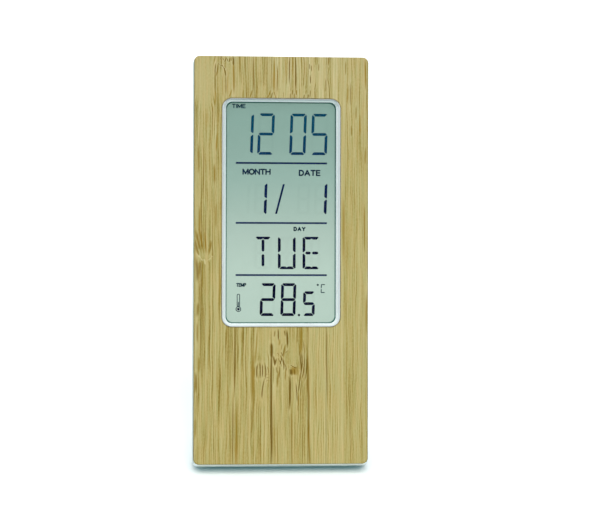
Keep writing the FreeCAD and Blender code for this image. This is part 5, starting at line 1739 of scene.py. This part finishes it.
@dataclass
class ReadOut(SubAssembly):
    """What the display shows, as thin shapes standing on its film.

    Attributes:
        proud: how far a dark shape stands before the film.
        sunk: how far every shape reaches into the film.
        ghost_proud: how far an unlit shape stands before the film.
        sides: x where the dividing lines start and where they end.
        dividers: heights of the dividing lines.
        line: how thick a dividing line is.
        slash: foot and top of the slash between month and date, as x and z.
        slash_half: half its width.
        point: middle of the decimal point.
        colon: heights of the two dots that are never lit, beside the time.
        bulb: middle of the thermometer's bulb.
        bulb_radius: its outer radius.
        tube_top: where the thermometer's tube ends.
        tube_half: half the tube's width.
        tube_wall: how thick the lines of tube and bulb are.
        degree: middle of the degree dot.
        words: the fixed words.
    """

    proud: float = 0.03
    sunk: float = 0.02
    ghost_proud: float = 0.008
    sides: tuple[float, float] = (-15.55, 16.08)
    dividers: tuple[float, ...] = (103.63, 82.9, 64.87)
    line: float = 0.66
    slash: tuple[tuple[float, float], ...] = ((-1.6, 86.05), (1.08, 96.35))
    slash_half: float = 0.35
    point: tuple[float, float] = (6.42, 51.05)
    colon: tuple[float, ...] = (110.6, 116.4)
    bulb: tuple[float, float] = (-14.56, 53.1)
    bulb_radius: float = 0.95
    tube_top: float = 58.4
    tube_half: float = 0.56
    tube_wall: float = 0.27
    degree: tuple[float, float] = (12.93, 61.5)
    words: tuple[Word, ...] = (
        Word("TIME", -14.57, 123.3, 4.75, 1.55, 0.34, 0.3),
        Word("MONTH", -8.37, 100.6, 9.8, 2.15, 0.49, 0.25),
        Word("DATE", 10.04, 100.3, 7.6, 2.15, 0.49, 0.28),
        Word("DAY", 6.56, 80.86, 4.2, 1.5, 0.42, 0.5),
        Word("TEMP", -13.63, 61.45, 3.5, 1.35, 0.32, 0.26),
    )

    def __post_init__(self) -> None:
        """Reads where the film's front is and lays out the figures' cells."""
        self.film = float(face_box("lcd_polariser")[0][1])
        time = {"z": 106.5, "width": 5.68, "height": 14.35, "stroke": 0.98}
        self.time = [Cell(x, **time) for x in (-15.4, -8.22, 2.88, 10.33)]
        date = {"z": 85.95, "width": 4.4, "height": 10.65, "stroke": 0.98, "gap": 0.26, "side_in": 0.05}
        self.date = [Cell(x, **date) for x in (-15.3, -9.33, 5.55, 11.5)]
        day = {"z": 66.92, "width": 6.15, "height": 11.25, "stroke": 0.97, "gap": 0.34, "slant": 0.0}
        day |= {"flat_in": 0.58, "side_in": 0.2}
        self.day = [Cell(x, **day) for x in (-9.17, -0.93, 7.62)]
        warm = {"z": 50.72, "stroke": 1.0, "gap": 0.4, "flat_in": 0.4, "side_in": 0.4, "slant": 1.6}
        self.warmth = [Cell(x, width=5.25, height=11.35, **warm) for x in (-7.24, -0.07)]
        self.warmth.append(Cell(7.67, width=4.15, height=8.56, **warm))
        thin = {"stroke": 0.3, "gap": 0.1, "flat_in": 0.1, "side_in": 0.1, "slant": 1.6}
        self.unit = Cell(13.95, 58.7, width=1.55, height=3.05, **thin)

    def _glyphs(self, plates: Plates, cells: list[Cell], words: str) -> None:
        """Adds one glyph in each cell.

        Args:
            plates: what they are added to.
            cells: the cells.
            words: a figure or letter for each; a space leaves its cell empty.
        """
        for cell, letter in zip(cells, words, strict=True):
            for bar in GLYPHS.get(letter, ()):
                plates.plate(cell.outline(bar))

    def _date(self, plates: Plates) -> None:
        """Adds month and date, with the thin slash between them.

        Args:
            plates: what they are added to.
        """
        self._glyphs(plates, self.date, " 1 1")
        foot, top = (np.array(end) for end in self.slash)
        half = np.array([self.slash_half, 0.0])
        plates.plate(np.array([foot - half, foot + half, top + half, top - half]))

    def _temperature(self, plates: Plates) -> None:
        """Adds the temperature, its decimal point and the filling of the thermometer's bulb.

        Args:
            plates: what they are added to.
        """
        self._glyphs(plates, self.warmth, "285")
        plates.plate(circle(*self.point, 0.42, 20))
        plates.plate(circle(*self.bulb, 0.46, 20))

    def _lines(self, plates: Plates) -> None:
        """Adds the dividing lines."""
        for z in self.dividers:
            plates.plate(rounded(*self.sides, z - self.line / 2, z + self.line / 2, 0.08, 3))

    def _thermometer(self, plates: Plates) -> None:
        """Adds the little thermometer: an open tube with a thin column, over a ringed bulb.

        Args:
            plates: what they are added to.
        """
        (x, z), top, radius = self.bulb, self.tube_top, self.bulb_radius
        half, wall, foot = self.tube_half, self.tube_wall, z + 0.7 * radius
        outer = rounded(x - half, x + half, foot, top, half - 0.01)
        bore = half - wall
        plates.band(outer, rounded(x - bore, x + bore, foot + wall, top - wall, bore - 0.01))
        plates.plate(rounded(x - 0.15, x + 0.15, z + radius, z + 2.5, 0.1))
        plates.band(circle(x, z, radius), circle(x, z, radius - wall))

    def _degrees(self, plates: Plates) -> None:
        """Adds the degree dot and the thin letter after it.

        Args:
            plates: what they are added to.
        """
        plates.plate(circle(*self.degree, 0.36, 16))
        for bar in (Bar.TOP, Bar.LEFT_UPPER, Bar.LEFT_LOWER, Bar.BOTTOM):
            plates.plate(self.unit.outline(bar))

    def _unlit(self, plates: Plates) -> None:
        """Adds every shape that is switched off, which shows a trace darker than the film.

        Args:
            plates: what they are added to.
        """
        self._glyphs(plates, self.time, "1888")
        self._glyphs(plates, self.date, "1888")
        for cell in self.day:
            for bar in LETTER:
                plates.plate(cell.outline(bar))
        self._glyphs(plates, self.warmth, "888")
        for z in self.colon:
            plates.plate(circle(0.35 + (z - self.time[0].z) * 0.035, z, 0.5, 20))

    def build(self) -> None:
        """Makes the shown figures, the fixed words and lines, and the unlit shapes."""
        ink = SegmentInk("segment_ink").make(self.groups)
        fixed = SegmentInk("fixed_ink", srgb(14, 42, 54), srgb(8, 34, 56), srgb(10, 62, 80)).make(self.groups)
        ruled = SegmentInk("line_ink", srgb(44, 56, 84), srgb(20, 38, 74), srgb(8, 34, 60)).make(self.groups)
        ghost = DisplayFilm("ghost_ink", tint=(0.965, 0.965, 0.965)).make(self.groups)
        shapes = [
            ("readout_time", partial(self._glyphs, cells=self.time, words="1205"), ink),
            ("readout_date", self._date, ink),
            ("readout_day", partial(self._glyphs, cells=self.day, words="TUE"), ink),
            ("readout_temperature", self._temperature, ink),
            ("readout_lines", self._lines, ruled),
            ("thermometer_mark", self._thermometer, fixed),
            ("degree_mark", self._degrees, fixed),
            ("readout_unlit", self._unlit, ghost),
        ]
        for word in self.words:
            shapes.append((f"word_{word.words.lower()}", partial(word.draw, reads=Reads.FORWARD), fixed))
        for name, draw, finish in shapes:
            proud = self.ghost_proud if finish is ghost else self.proud
            plates = Plates(self.film - proud, self.film + self.sunk)
            draw(plates)
            dress(plates.piece(name, "housing", "lcd_film"), finish)
        LOG.info("read-out in %d pieces, %d of them words", len(shapes), len(self.words))


@dataclass(frozen=True)
class BackMark:
    """How markings lie on the back: grey plates that reach into it and stand a little proud.

    Attributes:
        proud: how far a marking stands out.
        sunk: how far it reaches into the wall.
        ink: its finish.
    """

    proud: float = 0.03
    sunk: float = 0.05
    ink: Moulded = Moulded("marking", srgb(112, 120, 120), 0.6, 0.15, 0.006, 0.03, 0.0)

    def plates(self, node: str) -> Plates:
        """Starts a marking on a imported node's back."""
        back = float(face_box(node)[1][1])
        return Plates(back - self.sunk, back + self.proud)


@dataclass
class Housing(SubAssembly):
    """The white shells with their screws, and the markings moulded on the back.

    Attributes:
        marking: how the markings lie on the back.
        word_height: how tall a marking's letters are.
        stroke: how thick their strokes are.
        below_button: from a button's middle down to the middle of its word.
        keys: each button's word and its width.
        lock_radius: how far the door's two marks are from its middle.
        door_turn: angle between them, in degrees.
        dot: radius of those two dots.
        arrow: half the width of the arrow's line and half that of its head.
        arrow_ends: angle from the first dot to the line's start, then from its end, from its head's
            heel and from its tip to the second dot.
    """

    marking: BackMark = BackMark()
    word_height: float = 1.7
    stroke: float = 0.3
    below_button: float = 5.4
    keys: tuple[tuple[str, str, float], ...] = (
        ("mode", "MODE", 6.2),
        ("set", "SET", 4.2),
        ("up", "+", 1.7),
        ("down", "-", 1.5),
    )
    lock_radius: float = 14.1
    door_turn: float = 60.0
    dot: float = 0.42
    arrow: tuple[float, float] = (0.12, 0.65)
    arrow_ends: tuple[float, float, float, float] = (0.16, 0.26, 0.27, 0.1)

    def _door_marks(self, plates: Plates) -> None:
        """Adds a dot for each end of the door's turn and an arrow from one to the other.

        A point at an angle on a radius is the middle plus the radius times the angle's sine and
        cosine.

        Args:
            plates: what they are added to.
        """
        middle = np.array(face_middle("battery_door"))
        turn, radius = math.radians(self.door_turn), self.lock_radius

        def around(reach: float | np.ndarray, angle: float | np.ndarray) -> np.ndarray:
            """Gives points round the door's middle, as rows of x, z."""
            return middle + np.stack([reach * np.sin(angle), reach * np.cos(angle)], axis=-1)

        for angle in (0.0, turn):
            plates.plate(circle(*around(radius, angle), self.dot, 24))
        (line, head), (start, end, heel, tip) = self.arrow, self.arrow_ends
        sweep = np.linspace(start, turn - end, 24)
        plates.plate(np.concatenate([around(radius + line, sweep[::-1]), around(radius - line, sweep)]))
        corners = np.array([radius, radius + head, radius - head])
        plates.plate(around(corners, np.array([turn - tip, turn - heel, turn - heel])))

    def _words(self) -> list[tuple[str, Word]]:
        """Lays out the words.

        Returns:
            Each word's piece and what it says.
        """
        x, z = face_middle("battery_door")
        letters = {"height": self.word_height, "stroke": self.stroke}
        words = [
            ("word_lock", Word("LOCK", x, z + self.lock_radius + 2.2, 5.6, **letters)),
            ("word_open", Word("OPEN", x + 10.8, z + self.lock_radius - 0.1, 5.6, **letters)),
        ]
        for key, says, width in self.keys:
            x, z = face_middle(f"button_{key}")
            words.append((f"word_{key}", Word(says, x, z - self.below_button, width, **letters)))
        return words

    def build(self) -> None:
        """Dresses the shells and screws and makes the markings."""
        white = ShellPlastic("housing", srgb(226, 241, 241), 0.5, 0.22, 0.014, 0.008, 0.2)
        steel = Metal("plated_steel", srgb(206, 206, 200), 0.28, srgb(176, 176, 170))
        finishes = dict.fromkeys(("front_shell", "rear_shell"), white)
        self.dress_nodes(finishes | dict.fromkeys(("shell_screws", "stand_pins"), steel))
        grey = self.marking.ink.make(self.groups)
        shapes = [("door_marks", self._door_marks)]
        shapes += [(name, partial(word.draw, reads=Reads.BACKWARD)) for name, word in self._words()]
        for name, draw in shapes:
            plates = self.marking.plates("rear_shell")
            draw(plates)
            dress(plates.piece(name, "housing", "button_grey"), grey)
        LOG.info("housing with %d markings", len(shapes))


@dataclass
class MovingParts(SubAssembly):
    """The stand, the battery door and the four buttons.

    Attributes:
        marking: how the door's marks lie on it.
        pointer: half the width of the door's pointer.
        pointer_in: from the door's rim to the pointer's tip.
        plus_up: from the door's lower rim up to the middle of its plus sign.
        plus: width and height of the plus sign, and how thick its strokes are.
    """

    marking: BackMark = BackMark()
    pointer: float = 0.8
    pointer_in: float = 0.7
    plus_up: float = 3.6
    plus: tuple[float, float, float] = (2.4, 2.4, 0.4)

    def build(self) -> None:
        """Dresses the moving parts and gives the door its pointer and plus sign."""
        white = Moulded("stand", srgb(223, 237, 237), 0.5, 0.22, 0.014, 0.01, 0.25)
        finishes: dict[str, Finish] = dict.fromkeys(("stand", "battery_door"), white)
        grey = Moulded("button", srgb(158, 166, 164), 0.42, 0.3, 0.006, 0.05, 0.15)
        black = Moulded("plunger", srgb(40, 40, 42), 0.5, 0.3, 0.01)
        for key in ("mode", "set", "up", "down"):
            finishes |= {f"button_{key}": grey, f"plunger_{key}": black}
        self.dress_nodes(finishes)

        low, high = (corner.tolist() for corner in face_box("battery_door"))
        x, size, top = (low[0] + high[0]) / 2, self.pointer, high[2] - self.pointer_in
        pointer, plus = self.marking.plates("battery_door"), self.marking.plates("battery_door")
        pointer.plate(np.array([(x - size, top - 1.6 * size), (x + size, top - 1.6 * size), (x, top)]))
        Word("+", x, low[2] + self.plus_up, *self.plus).draw(plus, Reads.BACKWARD)
        ink = replace(self.marking.ink, name="door_marking").make(self.groups)
        for name, plates in (("door_pointer", pointer), ("door_plus", plus)):
            dress(plates.piece(name, "door", "button_grey"), ink)
        LOG.info("stand, battery door and four buttons")


@dataclass
class Electronics(SubAssembly):
    """What is sealed inside: board, cell, sounder and leads."""

    def build(self) -> None:
        """Gives each inner node its own finish."""
        steel = Metal("inner_steel", srgb(202, 202, 196), 0.3, srgb(170, 170, 164))
        resin = Moulded("resin", srgb(22, 22, 24), 0.2, 1.5, 0.02, 0.02, 0.0)
        red = Moulded("lead_red", srgb(186, 40, 34), 0.45, 0.4, 0.006)
        black = Moulded("lead_black", srgb(34, 34, 36), 0.45, 0.4, 0.006)
        finishes = {
            "main_board": BoardLacquer("board"),
            "controller_blob": resin,
            "thermistor": resin,
            "chip_components": Moulded("chip", srgb(136, 118, 98), 0.6, 0.3, 0.01),
            "switch_bodies": Moulded("switch", srgb(44, 44, 46), 0.5, 0.3, 0.01),
            "sounder_disc": Metal("brass", srgb(212, 178, 96), 0.3, srgb(180, 146, 70)),
            "sounder_ceramic": Moulded("ceramic", srgb(228, 226, 216), 0.4, 0.4, 0.006),
            "sounder_lead_signal": red,
            "sounder_lead_ground": black,
            "battery_lead_positive": red,
            "battery_lead_negative": black,
            "battery_cell": steel,
            "battery_contact_negative": steel,
            "battery_contact_positive": steel,
            "quartz_crystal": steel,
            "board_screws": steel,
        }
        self.dress_nodes(finishes)
        LOG.info("%d inner nodes", len(finishes))


# ---- studio


@dataclass
class Viewpoint:
    """The camera: it stands before the clock, a little to its left and above it.

    Attributes:
        aim: the point of the face's frame that it looks at, in millimetres.
        distance: from that point, in millimetres.
        azimuth: turn round the clock, in degrees; zero looks along +Y.
        elevation: height above the horizon, in degrees.
        roll: turn about its own axis, in degrees.
        lens: focal length in millimetres.
        sensor: width of what the lens draws on, in millimetres.
        clip: nearest and furthest distance that it sees, in metres.
    """

    aim: tuple[float, float, float] = (4.55, 0.0, 71.64)
    distance: float = 500.0
    azimuth: float = -3.91
    elevation: float = 14.57
    roll: float = 1.127
    lens: float = 89.0
    sensor: float = 36.0
    clip: tuple[float, float] = (0.01, 20.0)

    def build(self) -> None:
        """Makes the camera and gives it to the scene."""
        turn, rise = math.radians(self.azimuth), math.radians(self.elevation)
        sight = Vector((-math.sin(turn) * math.cos(rise), math.cos(turn) * math.cos(rise), -math.sin(rise)))
        level = sight.cross(Vector((0, 0, 1))).normalized()
        over = level.cross(sight)
        tilt = math.radians(self.roll)
        right = level * math.cos(tilt) + over * math.sin(tilt)
        up = over * math.cos(tilt) - level * math.sin(tilt)
        camera = bpy.data.objects.new("camera", bpy.data.cameras.new("camera"))
        camera.data.lens = self.lens
        camera.data.sensor_width = self.sensor
        camera.data.clip_start, camera.data.clip_end = self.clip
        camera.matrix_world = Matrix((right, up, -sight)).transposed().to_4x4()
        camera.location = Vector(FACE.place(np.array([self.aim]))[0]) - sight * (self.distance * MM)
        bpy.context.scene.collection.objects.link(camera)
        bpy.context.scene.camera = camera


@dataclass
class Studio:
    """A white table in even light, with a wide soft sun over the front and a weaker one behind.

    Attributes:
        table: half the table's width, in metres.
        ambient: strength of the light from all round.
        suns: strength, height above the horizon in degrees and turn to the back in degrees of each sun.
        softness: how wide they look, in degrees.
        gain: the table's share of light sent back to the eye, before and behind the clock; the higher share
            behind is painted light that pales the clock's shadow there.
        gain_at: y where the first of those ends and where the second starts, in metres.
        bounce: its share sent back to everything else.
        bounced_red: share of red left in what it sends back.
        contact: how much painted contact shade darkens the table to the eye where something rests on it.
        reach: how far that goes, in metres.
        glow: what the table gives off to the eye, which tinges its shadows blue-green.
    """

    table: float = 6.0
    ambient: float = 0.38
    suns: tuple[tuple[float, float, float], ...] = ((2.31, 50.0, 0.0), (0.8, 8.0, 180.0))
    softness: float = 50.0
    gain: tuple[float, float] = (1.14, 1.32)
    gain_at: tuple[float, float] = (-0.02, 0.01)
    bounce: float = 0.56
    bounced_red: float = 0.86
    contact: float = 0.34
    reach: float = 0.0021
    glow: Colour = (0.0, 0.064, 0.07)

    def _sun(self, strength: float, rise: float, turn: float) -> None:
        """Hangs a soft sun, turned down to the clock.

        Args:
            strength: its strength.
            rise: its height above the horizon, in degrees.
            turn: its turn to the back, in degrees.
        """
        light = bpy.data.lights.new("soft_sun", "SUN")
        light.energy = strength
        light.angle = math.radians(self.softness)
        lamp = bpy.data.objects.new("soft_sun", light)
        lamp.rotation_euler = (math.radians(90.0 - rise), 0.0, math.radians(turn))
        bpy.context.scene.collection.objects.link(lamp)

    def _white_to_eye(self, nodes: Nodes) -> Signal:
        """Tells what the eye sees from all else.

        Args:
            nodes: the nodes of the air or of the table.

        Returns:
            One for rays from the camera, from mirrors and through glass, and zero for all others.
        """
        path = nodes.signals(nodes.node("ShaderNodeLightPath"))
        seen = nodes.math("MAXIMUM", path["Is Camera Ray"], path["Is Glossy Ray"])
        return nodes.math("MAXIMUM", seen, path["Is Transmission Ray"])

    def _world(self) -> None:
        """Makes the air white to the eye and gives even light to everything else."""
        world = bpy.data.worlds.new("air")
        world.use_nodes = True
        nodes = Nodes(world.node_tree)
        strength = self._white_to_eye(nodes).scaled(1.0 - self.ambient, plus=self.ambient)
        air = nodes.signal("ShaderNodeBackground", {"Color": (1.0, 1.0, 1.0), "Strength": strength})
        nodes.node("ShaderNodeOutputWorld", {"Surface": air})
        bpy.context.scene.world = world

    def _table(self) -> None:
        """Lays a wide white table, with painted contact shade where something rests on it and painted light
        behind the clock.
        """
        half = self.table
        mesh = bpy.data.meshes.new("table")
        corners = [(-half, -half, 0.0), (half, -half, 0.0), (half, half, 0.0), (-half, half, 0.0)]
        mesh.from_pydata(corners, [], [(0, 1, 2, 3)])
        table = bpy.data.objects.new("table", mesh)
        bpy.context.scene.collection.objects.link(table)
        material = bpy.data.materials.new("table")
        material.use_nodes = True
        nodes = Nodes(material.node_tree)
        eye = self._white_to_eye(nodes)
        place = nodes.signals(nodes.node("ShaderNodeTexCoord"))["Object"]
        # painted light: the table is brighter to the eye behind the clock
        gain = place.parts()[1].ease(*self.gain_at, *self.gain)
        # painted contact shade, from ambient occlusion near the table
        near = nodes.node("ShaderNodeAmbientOcclusion", {"Distance": self.reach}, samples=16)
        seen = gain * nodes.signals(near)["AO"].ease(0.0, 1.0, 1.0 - self.contact, 1.0)
        rest = (self.bounced_red * self.bounce, self.bounce, self.bounce)
        colour = nodes.vector(*(eye.scaled(seen - share, plus=share) for share in rest))
        lit = nodes.signal("ShaderNodeBsdfDiffuse", {"Color": colour})
        glow = nodes.signal("ShaderNodeEmission", {"Color": self.glow, "Strength": eye})
        both = nodes.signal("ShaderNodeAddShader", {0: lit, 1: glow})
        nodes.node("ShaderNodeOutputMaterial", {"Surface": both})
        mesh.materials.append(material)

    def build(self) -> None:
        """Makes the air, the table and the suns, and keeps colours as they are written."""
        self._world()
        self._table()
        for sun in self.suns:
            self._sun(*sun)
        bpy.context.scene.view_settings.view_transform = "Standard"


def main() -> None:
    """Builds the camera, the studio and the clock's finishes in order."""
    logging.basicConfig(level=logging.INFO, format="%(name)s: %(message)s")
    groups = Groups()
    Viewpoint().build()
    Studio().build()
    for assembly in (BambooFace, DisplayWindow, ReadOut, Housing, MovingParts, Electronics):
        assembly(groups).build()


if __name__ == "__main__":
    main()
